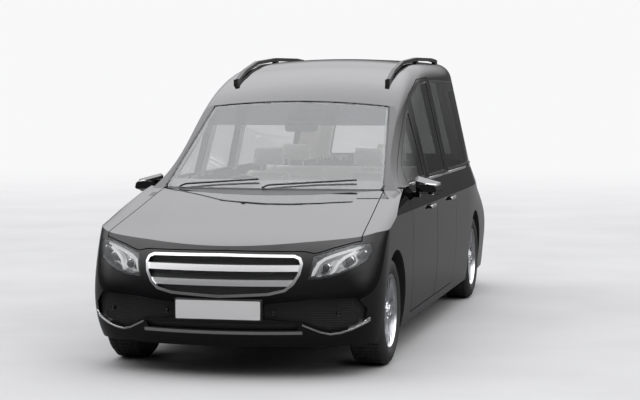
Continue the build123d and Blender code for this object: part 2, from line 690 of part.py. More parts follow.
with BuildPart() as dashboard:
    with BuildSketch(Plane.YZ.offset(-770)) as profile:
        Polygon(*[(from_nose(d), z) for d, z in DASHBOARD], align=None)
        fillet(profile.vertices().sort_by(Axis.X)[-3:], 24)
    extrude(amount=1540)
    with Locations(Pos(-STEER_X, from_nose(2020), 905)):
        Cylinder(32, 150, rotation=(STEER_TILT - 90, 0, 0))
    with BuildSketch(Plane.YZ.offset(-130)):
        Polygon((from_nose(1860), FLOOR + TUNNEL_RISE), (from_nose(2560), FLOOR + TUNNEL_RISE), (from_nose(2540), 560),
                (from_nose(1990), 700), (from_nose(1870), 800), align=None)
    extrude(amount=260)
write("dashboard", dashboard.part)


def seat(x0, x1, shift, heads):
    """Seat on its base, between two widths and moved back by a shift."""
    with BuildPart() as one:
        for outline in (CUSHION, BACKREST):
            with BuildSketch(Plane.YZ.offset(x0)) as profile:
                Polygon(*[(from_nose(d + shift), z) for d, z in outline], align=None)
                fillet(profile.vertices(), 22)
            extrude(amount=x1 - x0)
        for x in heads:
            with BuildSketch(Plane.YZ.offset(x - 130)) as profile:
                Polygon(*[(from_nose(d + shift), z) for d, z in HEADREST], align=None)
                fillet(profile.vertices().sort_by(Axis.Y)[-2:], 28)
            extrude(amount=260)
        add(block(x0 + 60, x1 - 60, 2260 + shift, 2600 + shift, FLOOR, 480))
        add(block(-TUNNEL_HALF - SHUT, TUNNEL_HALF + SHUT, 2250 + shift, 2610 + shift, FLOOR, FLOOR + TUNNEL_RISE + SHUT),
            mode=Mode.SUBTRACT)
    return one.part


# Seats: two in front and a bench behind
write("seats", Compound(children=[seat(130 + SHUT, 625, 0, (STEER_X + 10,)), seat(-625, -130 - SHUT, 0, (-STEER_X - 10,)),
                                  seat(-640, 640, BENCH_SHIFT, (-380, 380))]))

# Coffin deck: board with a raised rim, rollers, bier-pin holes and the walls that carry it
with BuildPart() as deck:
    with BuildSketch(Plane.XY.offset(DECK - SKIN)) as board:
        add(plan_face(0, CABIN_HALF - 30, from_nose(DECK_START), from_nose(DECK_END), 1, 200, nose_bow=1))
    extrude(amount=SKIN)
    with BuildSketch(Plane.XY.offset(DECK)) as rim:
        add(plan_face(0, CABIN_HALF - 30, from_nose(DECK_START), from_nose(DECK_END), 1, 200, nose_bow=1))
        add(plan_face(0, CABIN_HALF - 54, from_nose(DECK_START + 24), from_nose(DECK_END - 24), 1, 176, nose_bow=1),
            mode=Mode.SUBTRACT)
    extrude(amount=40)
    add(block(-560, 560, DECK_START, DECK_START + 30, REAR_FLOOR, DECK - 1))
    for x in (-560, 530):
        add(block(x, x + 30, DECK_START + 240, DECK_END - 240, REAR_FLOOR, DECK - 1))
    with Locations(*[(0, from_nose(DECK_START + 150 + row * 250), DECK + 12) for row in range(7)]):
        Cylinder(20, 900, rotation=(0, 90, 0))
    with Locations(*[(x, from_nose(4825 + d), DECK) for x in (-280, 280) for d in (-500, 500)]):
        Cylinder(8, 100, mode=Mode.SUBTRACT)
write("coffin_deck", largest(deck.part))

# Roof rails on their feet
with BuildPart() as rail:
    with BuildSketch(Plane.YZ.offset(RAIL_X - 14)):
        Polygon(*([(from_nose(d), z + 42) for d, z in RAIL] + [(from_nose(d), z + 16) for d, z in reversed(RAIL)]),
                align=None)
    extrude(amount=28)
    for d, z in (RAIL[0], RAIL[3], RAIL[-1]):
        add(block(RAIL_X - 16, RAIL_X + 16, d - 45, d + 45, z - 40, z + 38))
    add(upper, mode=Mode.SUBTRACT)
write_both("roof_rails", largest(rail.part))


def screen_point(x, z, out):
    """Point above the windscreen at a width and a height."""
    d = SCREEN_FOOT + SCREEN_BOW * (x / UPPER_BASE_HALF) ** 2 + SCREEN_RUN * (z - UPPER_BASE)
    return Vector(x, from_nose(d) - out * sin(radians(SCREEN_RAKE)), z + out * cos(radians(SCREEN_RAKE)))


with BuildPart() as wipers:
    for x0, x1 in ((-60, 560), (-640, -100)):
        with BuildLine():
            path = Polyline(screen_point(x0, 1068, 8), screen_point(x0 + 40, 1082, 13), screen_point(x1, 1116, 14))
        with BuildSketch(path ^ 0):
            Circle(6)
        sweep(path=path, transition=Transition.RIGHT)
write("wipers", wipers.part)

# Door mirror: housing that narrows forwards, on its foot
with BuildPart() as mirror_pod:
    with BuildSketch(Plane.XZ.offset(-from_nose(1768))) as glass_side:
        Polygon((892, 1022), (1048, 1012), (1077, 1038), (1062, 1098), (904, 1140), (886, 1124), align=None)
        fillet(glass_side.vertices(), 12)
    extrude(amount=130, taper=10)
    add(block(860, 930, 1690, 1750, 1000, 1036))
    add(lower, mode=Mode.SUBTRACT)
    add(upper, mode=Mode.SUBTRACT)
write_pair("mirror", largest(mirror_pod.part))

# Front hub carriers with struts
with BuildPart() as knuckle:
    add(hub_carrier(FRONT_AXLE))
    with Locations((WHEEL_X - 190, FRONT_AXLE, 490)):
        Cylinder(26, 340)
    add(block(WHEEL_X - 215, WHEEL_X - 100, FRONT_OVERHANG - 25, FRONT_OVERHANG + 25, 300, 350))
    with Locations((WHEEL_X - 110, FRONT_AXLE, 290)):
        Cylinder(20, 70)
write_pair("knuckle", knuckle.part)

# Wheels: tyre, and rim with five double spokes, hub and brake disc
for axle_name, axle in (("front", FRONT_AXLE), ("rear", REAR_AXLE)):
    wheel_plane = Plane(origin=(WHEEL_X, axle, TYRE_RADIUS), x_dir=(1, 0, 0), z_dir=(0, -1, 0))
    axis = Axis((WHEEL_X, axle, TYRE_RADIUS), (1, 0, 0))
    with BuildPart() as tyre:
        with BuildSketch(wheel_plane):
            Polygon(*(TYRE_PROFILE + [(-x, r) for x, r in reversed(TYRE_PROFILE)]), align=None)
        revolve(axis=axis)
    write_pair(f"tyre_{axle_name}", tyre.part)
    with BuildPart() as rim:
        with BuildSketch(wheel_plane):
            Polygon(*RIM_PROFILE, align=None)
        revolve(axis=axis)
        with BuildSketch(Plane(origin=axis.position, x_dir=(0, 1, 0), z_dir=(1, 0, 0)).offset(SPOKE_FACE)):
            Circle(66)
            with PolarLocations(0, 5):
                Polygon(*SPOKE, align=None)
                Polygon(*[(x, -y) for x, y in SPOKE], align=None)
        extrude(amount=30)
        for offset_x, radius, wide in ((24, 58, 128), (34, 34, 118), (-28, DISC_RADIUS, 24)):
            with Locations((WHEEL_X + offset_x, axle, TYRE_RADIUS)):
                Cylinder(radius, wide, rotation=(0, 90, 0))
    write_pair(f"rim_{axle_name}", rim.part)

# Steering wheel: eight-sided rim section, hub and three spokes
steer_axis = Axis((-STEER_X, from_nose(STEER_CENTRE[0]), STEER_CENTRE[1]),
                  (0, cos(radians(STEER_TILT)), sin(radians(STEER_TILT))))
steer_plane = Plane(origin=steer_axis.position, x_dir=(1, 0, 0), z_dir=steer_axis.direction)
with BuildPart() as steering:
    with BuildSketch(Plane(origin=steer_axis.position, x_dir=(1, 0, 0), z_dir=steer_plane.y_dir)):
        with Locations((183, 0)):
            RegularPolygon(15, 8)
    revolve(axis=steer_axis)
    with BuildSketch(steer_plane.offset(-14)):
        Circle(62)
        Rectangle(350, 38)
        with Locations((0, -90)):
            Rectangle(36, 170)
    extrude(amount=24)
write("steering_wheel", steering.part)
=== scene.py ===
# %% [markdown]
# A long estate hearse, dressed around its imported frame.
# The frame brings every panel, wheel and joint at real size, in metres, nose towards -Y and Z up.
# This file gives those pieces their finishes and adds what a frame leaves out: tread, trim, seals,
# lamp insides and upholstery.

# %% Load the frame
import bmesh
import bpy
from math import cos, hypot, pi, radians, sin
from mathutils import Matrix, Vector
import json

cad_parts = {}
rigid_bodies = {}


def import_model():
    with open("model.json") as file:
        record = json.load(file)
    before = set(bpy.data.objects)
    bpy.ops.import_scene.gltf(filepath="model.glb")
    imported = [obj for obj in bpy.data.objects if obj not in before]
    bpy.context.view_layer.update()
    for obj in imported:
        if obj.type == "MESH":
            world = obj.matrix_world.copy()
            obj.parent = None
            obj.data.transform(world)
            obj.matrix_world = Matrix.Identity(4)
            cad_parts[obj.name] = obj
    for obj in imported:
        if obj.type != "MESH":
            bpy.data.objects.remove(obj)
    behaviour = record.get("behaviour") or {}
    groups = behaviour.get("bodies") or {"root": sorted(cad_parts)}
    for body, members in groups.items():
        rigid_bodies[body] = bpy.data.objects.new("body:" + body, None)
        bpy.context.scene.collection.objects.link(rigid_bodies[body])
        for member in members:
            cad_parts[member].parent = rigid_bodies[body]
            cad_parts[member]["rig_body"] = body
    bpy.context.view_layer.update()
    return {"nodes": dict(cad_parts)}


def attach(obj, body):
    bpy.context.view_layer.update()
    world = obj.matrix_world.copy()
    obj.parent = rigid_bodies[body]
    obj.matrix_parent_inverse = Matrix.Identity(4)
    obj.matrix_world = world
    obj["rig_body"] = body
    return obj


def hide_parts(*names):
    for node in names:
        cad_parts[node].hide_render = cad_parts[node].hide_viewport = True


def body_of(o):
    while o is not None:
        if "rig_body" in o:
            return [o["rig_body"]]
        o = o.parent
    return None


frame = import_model()
nodes = frame["nodes"]
NOSE = -2.95


def station(millimetres):
    """Y of a distance from the nose."""
    return NOSE + millimetres / 1000


def stations(*distances):
    return [station(distance) for distance in distances]


# %% [markdown]
# The camera looks at the car from ahead and a little to its left, at the height of a chin. It stands
# far off with a long lens, so that the car fills the picture.

# %% Camera
EYE = Vector((2.957, -13.483, 1.77))
AIM = Vector((0.10, -0.60, 0.93))
FOCAL_MM, SENSOR_MM = 104, 36


def look_at(thing, place, aim):
    """Puts a camera or a lamp at its place and turns it to a point."""
    thing.location = place
    thing.rotation_euler = (Vector(aim) - Vector(place)).to_track_quat("-Z", "Y").to_euler()


camera_data = bpy.data.cameras.new("camera")
camera_data.lens, camera_data.sensor_width = FOCAL_MM, SENSOR_MM
camera = bpy.data.objects.new("camera", camera_data)
bpy.context.scene.collection.objects.link(camera)
look_at(camera, EYE, AIM)
bpy.context.scene.camera = camera
bpy.context.scene.view_settings.view_transform = "Standard"
print("camera distance", round((AIM - EYE).length, 2), "m")

# %% [markdown]
# Every finish below is a node material, so a few small helpers build the nodes: one node with its
# settings, the wires between nodes, noise that is fixed to the piece, and a ramp between two tones.
# Plain numbers go straight onto the shader.

# %% Helpers for materials
def new_material(name):
    """An empty node material with its tree and main shader."""
    material = bpy.data.materials.new(name)
    material.use_nodes = True
    tree = material.node_tree
    return material, tree, tree.nodes["Principled BSDF"]


def set_inputs(node, values):
    for key, value in values.items():
        node.inputs[key].default_value = value


def add_node(tree, kind, inputs=None, **settings):
    """A node of one kind, with its settings and unlinked inputs."""
    node = tree.nodes.new(kind)
    for key, value in settings.items():
        setattr(node, key, value)
    set_inputs(node, inputs or {})
    return node


def wire(tree, *wires):
    """Links nodes: each wire names a node, its output, the next node and that one's input."""
    for source, out, target, into in wires:
        tree.links.new(source.outputs[out], target.inputs[into])


def surface(tree):
    return tree.nodes["Material Output"]


def object_noise(tree, scale, detail=3.0, stretch=(1, 1, 1)):
    """Noise that is fixed to the piece's own place, drawn out along an axis if asked."""
    place = add_node(tree, "ShaderNodeTexCoord")
    turn = add_node(tree, "ShaderNodeMapping", {"Scale": stretch})
    noise = add_node(tree, "ShaderNodeTexNoise", {"Scale": scale, "Detail": detail})
    wire(tree, (place, "Object", turn, "Vector"), (turn, "Vector", noise, "Vector"))
    return noise


RAMP_FROM, RAMP_TO = 0.35, 0.65


def ramp(tree, noise, low, high):
    """A colour ramp between two colours, driven by noise."""
    node = add_node(tree, "ShaderNodeValToRGB")
    for stop, position, tone in zip(node.color_ramp.elements, (RAMP_FROM, RAMP_TO), (low, high)):
        stop.position = position
        stop.color = (*tone, 1)
    wire(tree, (noise, "Fac", node, "Fac"))
    return node


def toned(name, low, high, grain, detail, stretch, values):
    """A material that wanders between two tones, with its other numbers on the shader."""
    material, tree, shader = new_material(name)
    noise = object_noise(tree, grain, detail, stretch)
    wire(tree, (ramp(tree, noise, low, high), "Color", shader, "Base Color"))
    set_inputs(shader, values)
    return material, tree, shader, noise


def grey(value):
    return (value, value, value)


print("material helpers ready")

# %% [markdown]
# Black paint shows almost nothing but reflections, so the studio matters more than the paint.
# The dome is dark in a low belt and pale above it. The belt makes the flanks read as black, and the
# pale part above it lights the bonnet, screen and roof. In front of the car the belt reaches higher,
# so that the nose stays black too. The dome is stronger where it is mirrored than where it only
# lights. What the camera sees directly stays white.

# %% World
SKY_STOPS = ((0.0, 0.30), (0.50, 0.02), (0.535, 0.03), (0.57, 0.12), (0.61, 0.27), (0.68, 0.38),
             (0.82, 0.85), (1.0, 1.15))
MIRRORED_STRENGTH, LIGHTING_STRENGTH = 3.4, 1.25
FRONT_SHARE = 0.15
BACKDROP = (0.94, 0.94, 0.95, 1)
COOL = 1.02

world = bpy.data.worlds.new("studio")
bpy.context.scene.world = world
world.use_nodes = True
sky = world.node_tree
dome = sky.nodes["Background"]
place = add_node(sky, "ShaderNodeTexCoord")
parts = add_node(sky, "ShaderNodeSeparateXYZ")
to_unit = add_node(sky, "ShaderNodeMapRange", {"From Min": -1.0, "From Max": 1.0})
belt = add_node(sky, "ShaderNodeValToRGB")
for position, value in SKY_STOPS[1:-1]:
    belt.color_ramp.elements.new(position)
for stop, (position, value) in zip(belt.color_ramp.elements, SKY_STOPS):
    stop.position = position
    stop.color = (value, value, value * COOL, 1)
rays = add_node(sky, "ShaderNodeLightPath")
low_front = add_node(sky, "ShaderNodeMath", {1: 0.9}, operation="MULTIPLY_ADD")
side = add_node(sky, "ShaderNodeMapRange", {"From Min": -0.35, "From Max": 0.25, "To Min": FRONT_SHARE},
                interpolation_type="SMOOTHSTEP")
strength = add_node(sky, "ShaderNodeMapRange", {"To Min": LIGHTING_STRENGTH, "To Max": MIRRORED_STRENGTH})
share = add_node(sky, "ShaderNodeMath", operation="MULTIPLY")
backdrop = add_node(sky, "ShaderNodeBackground", {"Color": BACKDROP})
direct = add_node(sky, "ShaderNodeMath", operation="MAXIMUM")
choose = add_node(sky, "ShaderNodeMixShader")
wire(sky, (place, "Generated", parts, 0), (parts, "Z", to_unit, "Value"), (to_unit, "Result", belt, "Fac"),
     (belt, "Color", dome, "Color"), (parts, "Z", low_front, 0), (parts, "Y", low_front, 2),
     (low_front, 0, side, "Value"), (rays, "Is Glossy Ray", strength, "Value"), (side, "Result", share, 0),
     (strength, "Result", share, 1), (share, 0, dome, "Strength"), (rays, "Is Camera Ray", direct, 0),
     (rays, "Is Transmission Ray", direct, 1), (direct, 0, choose, "Fac"), (dome, 0, choose, 1),
     (backdrop, 0, choose, 2), (choose, 0, sky.nodes["World Output"], "Surface"))
print("dome stops:", len(SKY_STOPS))

# %% [markdown]
# Two wide lamps add a little light from one side, so that the shapes read. They don't show in the
# paint as bright rectangles, because glossy rays pass them by.

# %% Lamps
def soft_lamp(name, place, aim, size, power):
    """A wide rectangular lamp that looks at a point."""
    data = bpy.data.lights.new(name, "AREA")
    data.shape = "RECTANGLE"
    data.size, data.size_y = size
    data.energy = power
    lamp = bpy.data.objects.new(name, data)
    bpy.context.scene.collection.objects.link(lamp)
    look_at(lamp, place, aim)
    lamp.visible_glossy = False


soft_lamp("overhead", (0, 0, 9), (0, 0, 0), (12, 16), 40)
soft_lamp("front_left", (7, -9, 5), (0, -1, 0.8), (5, 4), 60)

# %% [markdown]
# The floor is one wide plane. Near the car it is a pale matt grey that takes the shadow, and far
# away it turns into the white of the background for the camera, so that no horizon line shows.

# %% Floor
FLOOR_REACH = 60
FADE_FROM, FADE_TO = 5.0, 26.0
MIRRORED_FLOOR = (0.15, 0.15, 0.15, 1)

bpy.ops.object.select_all(action="DESELECT")
bpy.ops.mesh.primitive_plane_add(size=2 * FLOOR_REACH, location=(0, 0, -0.001))
floor = bpy.context.object
floor.name = "studio_floor"
material, tree, shader = new_material("pale_floor")
tone = ramp(tree, object_noise(tree, 0.7), grey(0.74), grey(0.80))
seen = add_node(tree, "ShaderNodeLightPath")
darker = add_node(tree, "ShaderNodeMixRGB", {"Color2": MIRRORED_FLOOR})
set_inputs(shader, {"Roughness": 0.8, "Specular IOR Level": 0.1})
where = add_node(tree, "ShaderNodeTexCoord")
reach = add_node(tree, "ShaderNodeVectorMath", operation="LENGTH")
fade = add_node(tree, "ShaderNodeMapRange", {"From Min": FADE_FROM, "From Max": FADE_TO},
                interpolation_type="SMOOTHSTEP")
share = add_node(tree, "ShaderNodeMath", operation="MULTIPLY")
white = add_node(tree, "ShaderNodeEmission", {"Color": BACKDROP})
mix = add_node(tree, "ShaderNodeMixShader")
wire(tree, (seen, "Is Glossy Ray", darker, "Fac"), (tone, "Color", darker, "Color1"),
     (darker, "Color", shader, "Base Color"), (where, "Object", reach, 0), (reach, "Value", fade, "Value"),
     (fade, "Result", share, 0), (seen, "Is Camera Ray", share, 1), (share, 0, mix, "Fac"),
     (shader, 0, mix, 1), (white, 0, mix, 2), (mix, 0, surface(tree), "Surface"))
floor.data.materials.append(material)
print("floor reaches", FLOOR_REACH, "m")

# %% [markdown]
# Body finishes. The paint is a nearly black base under a clear coat, and only the coat reflects.
# A very faint noise in the base is the metal flake that shows close by.

# %% Paint and bright metal
def gloss_paint(name, low, high, roughness=0.02):
    return toned(name, low, high, 900.0, 1.0, (1, 1, 1),
                 {"Roughness": 0.5, "Specular IOR Level": 0.0, "Coat Weight": 1.0, "Coat IOR": 1.5,
                  "Coat Roughness": roughness})[0]


def bright_metal(name, low, high, roughness, grain=40.0, stretch=(1, 1, 1)):
    """Polished or brushed metal; a stretched noise gives the brushing."""
    return toned(name, low, high, grain, 3.0, stretch, {"Metallic": 1.0, "Roughness": roughness})[0]


def moulded(name, low, high, roughness, grain, relief=0.0002, strength=0.35, stretch=(1, 1, 1)):
    """Grained plastic, rubber or hide: one noise moves both its tone and its relief."""
    material, tree, shader, noise = toned(name, low, high, grain, 4.0, stretch, {"Roughness": roughness})
    bump = add_node(tree, "ShaderNodeBump", {"Strength": strength, "Distance": relief})
    wire(tree, (noise, "Fac", bump, "Height"), (bump, "Normal", shader, "Normal"))
    return material


paint = gloss_paint("black_gloss_paint", (0.0035, 0.0035, 0.004), (0.007, 0.007, 0.008))
gloss_black = gloss_paint("gloss_black_trim", grey(0.004), grey(0.009), 0.06)
chrome = bright_metal("bright_trim", grey(0.84), grey(0.90), 0.12)
satin = bright_metal("satin_trim", grey(0.80), grey(0.88), 0.30, 300.0)
alloy = bright_metal("wheel_alloy", (0.74, 0.75, 0.77), (0.82, 0.83, 0.85), 0.30)
disc_steel = bright_metal("disc_steel", grey(0.30), grey(0.42), 0.35, 260.0)
dull_steel = bright_metal("exhaust_steel", (0.30, 0.29, 0.27), (0.42, 0.40, 0.37), 0.38, 12.0)
black_plastic = moulded("black_plastic", grey(0.016), grey(0.030), 0.5, 1500.0)
rubber = moulded("tyre_rubber", grey(0.022), grey(0.038), 0.62, 700.0)
coated_steel = moulded("coated_steel", grey(0.03), grey(0.05), 0.55, 120.0)
print("body finishes ready")

# %% [markdown]
# Window glass is thin and clear, so light goes straight through it with a slight tint. Its outer
# face also mirrors a little, and much more at a low angle. Layer Weight gives that angle. The inner
# face only lets light through, because two mirrors in one pane would show everything twice.

# %% Glass and lamp plastics
UNSEEN_TINT = (0.97, 0.97, 0.97, 1)
MIRROR_TINT = (0.95, 0.97, 0.97, 1)
PANE_ROUGHNESS = 0.012


def clear_pane(name, tint, facing_share=None):
    """Tinted see-through pane; with a share it mirrors that much when seen straight on."""
    material, tree, shader = new_material(name)
    tone = ramp(tree, object_noise(tree, 2.0), [t * 0.97 for t in tint], tint)
    seen = add_node(tree, "ShaderNodeLightPath")
    lit = add_node(tree, "ShaderNodeMixRGB", {"Color1": UNSEEN_TINT})
    through = add_node(tree, "ShaderNodeBsdfTransparent")
    wire(tree, (seen, "Is Camera Ray", lit, "Fac"), (tone, "Color", lit, "Color2"),
         (lit, "Color", through, "Color"))
    if facing_share is None:
        wire(tree, (through, 0, surface(tree), "Surface"))
        return material
    set_inputs(shader, {"Base Color": MIRROR_TINT, "Metallic": 1.0, "Roughness": PANE_ROUGHNESS})
    angle = add_node(tree, "ShaderNodeLayerWeight", {"Blend": 0.5})
    steep = add_node(tree, "ShaderNodeMath", {1: 5.0}, operation="POWER")
    share = add_node(tree, "ShaderNodeMapRange", {"To Min": facing_share, "To Max": 1.0})
    mix = add_node(tree, "ShaderNodeMixShader")
    wire(tree, (angle, "Facing", steep, 0), (steep, 0, share, "Value"), (share, "Result", mix, "Fac"),
         (through, 0, mix, 1), (shader, 0, mix, 2), (mix, 0, surface(tree), "Surface"))
    return material


def lens_plastic(name, low, high, roughness, grain, stretch=(1, 1, 1), glow=None):
    """Coloured or milky lamp plastic with fine flutes."""
    lit = {"Emission Color": (1, 1, 1, 1), "Emission Strength": glow} if glow else {}
    return toned(name, low, high, grain, 1.0, stretch,
                 {"Roughness": roughness, "Coat Weight": 1.0, "Coat Roughness": 0.03, **lit})[0]


screen_glass = clear_pane("screen_glass", (0.96, 0.96, 0.97), 0.08)
side_glass = clear_pane("side_glass", (0.30, 0.31, 0.305), 0.05)
inner_face = clear_pane("glass_inner_face", (0.98, 0.98, 0.98))
lamp_cover = clear_pane("lamp_cover", (0.97, 0.98, 0.98), 0.04)
shade_film = clear_pane("shade_film", (0.30, 0.31, 0.33))
light_guide = lens_plastic("light_guide", grey(0.84), grey(0.90), 0.25, 60.0, glow=0.12)
red_lens = lens_plastic("red_lens", (0.30, 0.004, 0.004), (0.46, 0.010, 0.010), 0.2, 220.0, (1, 1, 6))
lamp_silver = bright_metal("lamp_reflector", grey(0.34), grey(0.56), 0.20, 120.0, (6, 1, 1))
mirror_glass = bright_metal("mirror_glass", grey(0.86), grey(0.88), 0.01, 4.0)
print("glass and lens finishes ready")

# %% [markdown]
# Inside, the seats are a pale hide, the dash a dark grained skin, the linings a pale cloth, and the
# load floor a dark veneer whose grain runs along the car. The grain is noise drawn out along Y.

# %% Interior finishes
hide = moulded("pale_hide", (0.68, 0.66, 0.62), (0.76, 0.74, 0.70), 0.48, 420.0, 0.0006)
hide_dark = moulded("dark_hide", grey(0.03), grey(0.045), 0.5, 420.0, 0.0005)
dash_skin = moulded("dash_skin", grey(0.03), grey(0.045), 0.6, 900.0, 0.0004)
lining = moulded("pale_lining", (0.58, 0.57, 0.55), (0.65, 0.64, 0.62), 0.85, 1300.0, 0.0001, 0.1)
door_lining = moulded("door_lining", grey(0.035), grey(0.055), 0.65, 700.0, 0.0004)
carpet = moulded("dark_carpet", grey(0.02), grey(0.045), 0.95, 900.0, 0.002, 0.8)
veneer = moulded("deck_veneer", (0.12, 0.050, 0.020), (0.28, 0.130, 0.052), 0.25, 26.0, 0.0001, 0.2,
                 (1, 0.06, 1))
display = gloss_paint("display_glass", (0.003, 0.003, 0.004), (0.006, 0.006, 0.008), 0.03)
print("materials:", len(bpy.data.materials))

# %% [markdown]
# The frame's pieces keep their shape, and each gets its finishes face by face. One panel is several
# things on the real car: painted outside, lined inside, matt black in the wheel arch. So every
# face is given the finish that its place and its normal call for.

# %% Rules for the panels
AXLES = stations(840, 4560)
AXLE_PLACES = (("front", AXLES[0]), ("rear", AXLES[1]))
CORNERS = [f"{axle}_{side}" for axle in ("front", "rear") for side in ("left", "right")]
WHEEL_X, HUB_Z = 0.785, 0.337
ARCH, ARCH_FROM_X, ARCH_TO_X = 0.388, 0.44, 0.90
CABIN_FROM = station(1520)
UNDERSIDE, SILL, WAIST, HEAD_HEIGHT = 0.25, 0.30, 1.09, 1.2
HANDLE_X, HANDLE_LOW, HANDLE_HIGH = 0.944, 0.88, 0.94


def give(node, finishes, rule=None):
    """Puts finishes in a node's slots; the rule picks one per face from its centre and normal."""
    mesh = nodes[node].data
    mesh.materials.clear()
    for material in finishes:
        mesh.materials.append(material)
    for face in mesh.polygons:
        face.material_index = rule(face.center, face.normal) if rule else 0


def from_hub(centre):
    """Distance of a point from the nearer wheel's axis, seen from the side."""
    return min(hypot(centre.y - axle, centre.z - HUB_Z) for axle in AXLES)


def inwards(centre, normal):
    """True for a face that looks into the car."""
    return normal.x * (1 if centre.x > 0 else -1) < -0.3 or (normal.z < -0.4 and centre.z > HEAD_HEIGHT)


def panel_rule(centre, normal):
    """0 paint, 1 black in the arches and below, 2 pale lining, 3 dark lining under the waist."""
    in_arch = from_hub(centre) < ARCH and ARCH_FROM_X < abs(centre.x) < ARCH_TO_X
    if in_arch or (normal.z < -0.8 and centre.z < UNDERSIDE):
        return 1
    if centre.y > CABIN_FROM and centre.z > SILL and inwards(centre, normal):
        return 2 if centre.z > WAIST else 3
    return 0


def door_rule(centre, normal):
    """As a panel, and 4 for the handle that stands proud of the door."""
    on_handle = abs(centre.x) > HANDLE_X and HANDLE_LOW < centre.z < HANDLE_HIGH
    return 4 if on_handle else panel_rule(centre, normal)


def side_pane_rule(centre, normal):
    """0 for a side pane's outer face, 1 for its others."""
    return int(normal.x * centre.x < 0.3 * abs(centre.x))


print("rules ready for", len(CORNERS), "doors and the panels round them")

# %% [markdown]
# One table lists the nodes, their finishes and the rule that shares them out. Panels and doors have
# the same finishes, and a door's handle one more. Only the outer face of a pane mirrors.

# %% Finishes on the frame's pieces
CARPET_Z, MIRROR_Z, CUSHION_Z = 0.31, 1.03, 0.465
PANELS = ("side_frame_left", "side_frame_right", "roof", "front_wings", "front_bumper", "rear_bumper",
          "bonnet", "tailgate")
LINED = [paint, black_plastic, lining, door_lining]
FINISHES = (
    (PANELS, LINED, panel_rule),
    ([f"door_{corner}" for corner in CORNERS], [*LINED, chrome], door_rule),
    (["quarter_glass"] + [f"glass_{corner}" for corner in CORNERS], [side_glass, inner_face], side_pane_rule),
    (["tailgate_glass"], [side_glass, inner_face], lambda centre, normal: int(normal.y < 0.3)),
    (["windscreen"], [screen_glass, inner_face], lambda centre, normal: int(normal.z < 0.3)),
    (["cowl_bulkhead", "wipers", "roof_rails"], [black_plastic], None),
    (["engine_block"], [coated_steel], None),
    (["floor_pan"], [coated_steel, carpet],
     lambda centre, normal: int(normal.z > 0.5 or centre.z > CARPET_Z)),
    (["exhaust"], [dull_steel], None),
    (["mirror_left", "mirror_right"], [paint, mirror_glass],
     lambda centre, normal: int(normal.y > 0.9 and centre.z > MIRROR_Z)),
    (["tail_lamps"], [red_lens, black_plastic],
     lambda centre, normal: int(abs(normal.x) > 0.9 and normal.x * centre.x < 0)),
    (["dashboard"], [dash_skin], None),
    (["seats"], [hide, dash_skin], lambda centre, normal: int(centre.z < CUSHION_Z)),
    (["steering_wheel"], [hide_dark], None))
for names, finishes, rule in FINISHES:
    for node in names:
        give(node, finishes, rule)
print("kinds of finish on the frame:", len(FINISHES))

# %% [markdown]
# Some nodes hold several solids. Faces that share corners belong to one solid, so a small search
# through the shared corners finds the solids, and each can get its own finish.

# %% Solids inside one node
def corners_of(mesh, face):
    return [tuple(round(v, 5) for v in mesh.vertices[i].co) for i in mesh.polygons[face].vertices]


def solids_of(node):
    """Lists the faces of each separate solid in a node."""
    mesh = nodes[node].data
    users = {}
    for face in range(len(mesh.polygons)):
        for corner in corners_of(mesh, face):
            users.setdefault(corner, []).append(face)
    solids, waiting = [], set(range(len(mesh.polygons)))
    while waiting:
        group, front = [], [waiting.pop()]
        while front:
            face = front.pop()
            group.append(face)
            for corner in corners_of(mesh, face):
                touching = waiting.intersection(users[corner])
                waiting -= touching
                front.extend(touching)
        solids.append(group)
    return solids


def span(node, faces):
    """Lowest and highest corner of some faces of a node."""
    mesh = nodes[node].data
    points = [mesh.vertices[i].co for face in faces for i in mesh.polygons[face].vertices]
    return [Vector([pick_end(p[k] for p in points) for k in range(3)]) for pick_end in (min, max)]


def inside(outline, x, z):
    """True if a point lies inside an outline of widths and heights."""
    hit = False
    for (x0, z0), (x1, z1) in zip(outline, outline[1:] + outline[:1]):
        if (z0 > z) != (z1 > z) and x < x0 + (z - z0) * (x1 - x0) / (z1 - z0):
            hit = not hit
    return hit


print("solids in the grille node:", len(solids_of("radiator_grille")))

# %% [markdown]
# The grille node holds the bowed frame, its bars, the dark backing and the strip under the intake. The
# headlamp node holds a cover and a housing on each side. Inside the housing, outlines drawn on the
# front view mark the light guides and the silver pocket.

# %% Grille and headlamps
LIGHT_BARS = [[(0.531, 0.615), (0.552, 0.619), (0.580, 0.683), (0.612, 0.708), (0.672, 0.732), (0.802, 0.771),
               (0.797, 0.789), (0.665, 0.751), (0.600, 0.727), (0.559, 0.697)],
              [(0.644, 0.633), (0.664, 0.635), (0.692, 0.687), (0.718, 0.712), (0.779, 0.747), (0.770, 0.765),
               (0.705, 0.730), (0.673, 0.698)]]
LAMP_POCKET = [(0.535, 0.613), (0.599, 0.615), (0.689, 0.637), (0.764, 0.673), (0.829, 0.711), (0.855, 0.761),
               (0.846, 0.788), (0.762, 0.785), (0.658, 0.757), (0.581, 0.730), (0.555, 0.726), (0.550, 0.680)]
GRILLE_FIELD = [(-0.1, 0.512), (0.296, 0.528), (0.384, 0.548), (0.426, 0.582), (0.458, 0.636), (0.468, 0.692),
                (0.460, 0.716), (0.434, 0.724), (-0.1, 0.731)]
SATIN, BRIGHT, BLACK = 0, 1, 2
FRAME_TOP, STRIP_TOP = 0.70, 0.295

give("radiator_grille", [satin, chrome, black_plastic])
faces = nodes["radiator_grille"].data.polygons
for solid in solids_of("radiator_grille"):
    low, high = span("radiator_grille", solid)
    is_frame = high.z > FRAME_TOP and low.y < station(25)
    for index in solid:
        x, z = abs(faces[index].center.x), faces[index].center.z
        if is_frame:
            faces[index].material_index = SATIN if inside(GRILLE_FIELD, x, z) else BRIGHT
        else:
            faces[index].material_index = BRIGHT if high.z < STRIP_TOP else BLACK

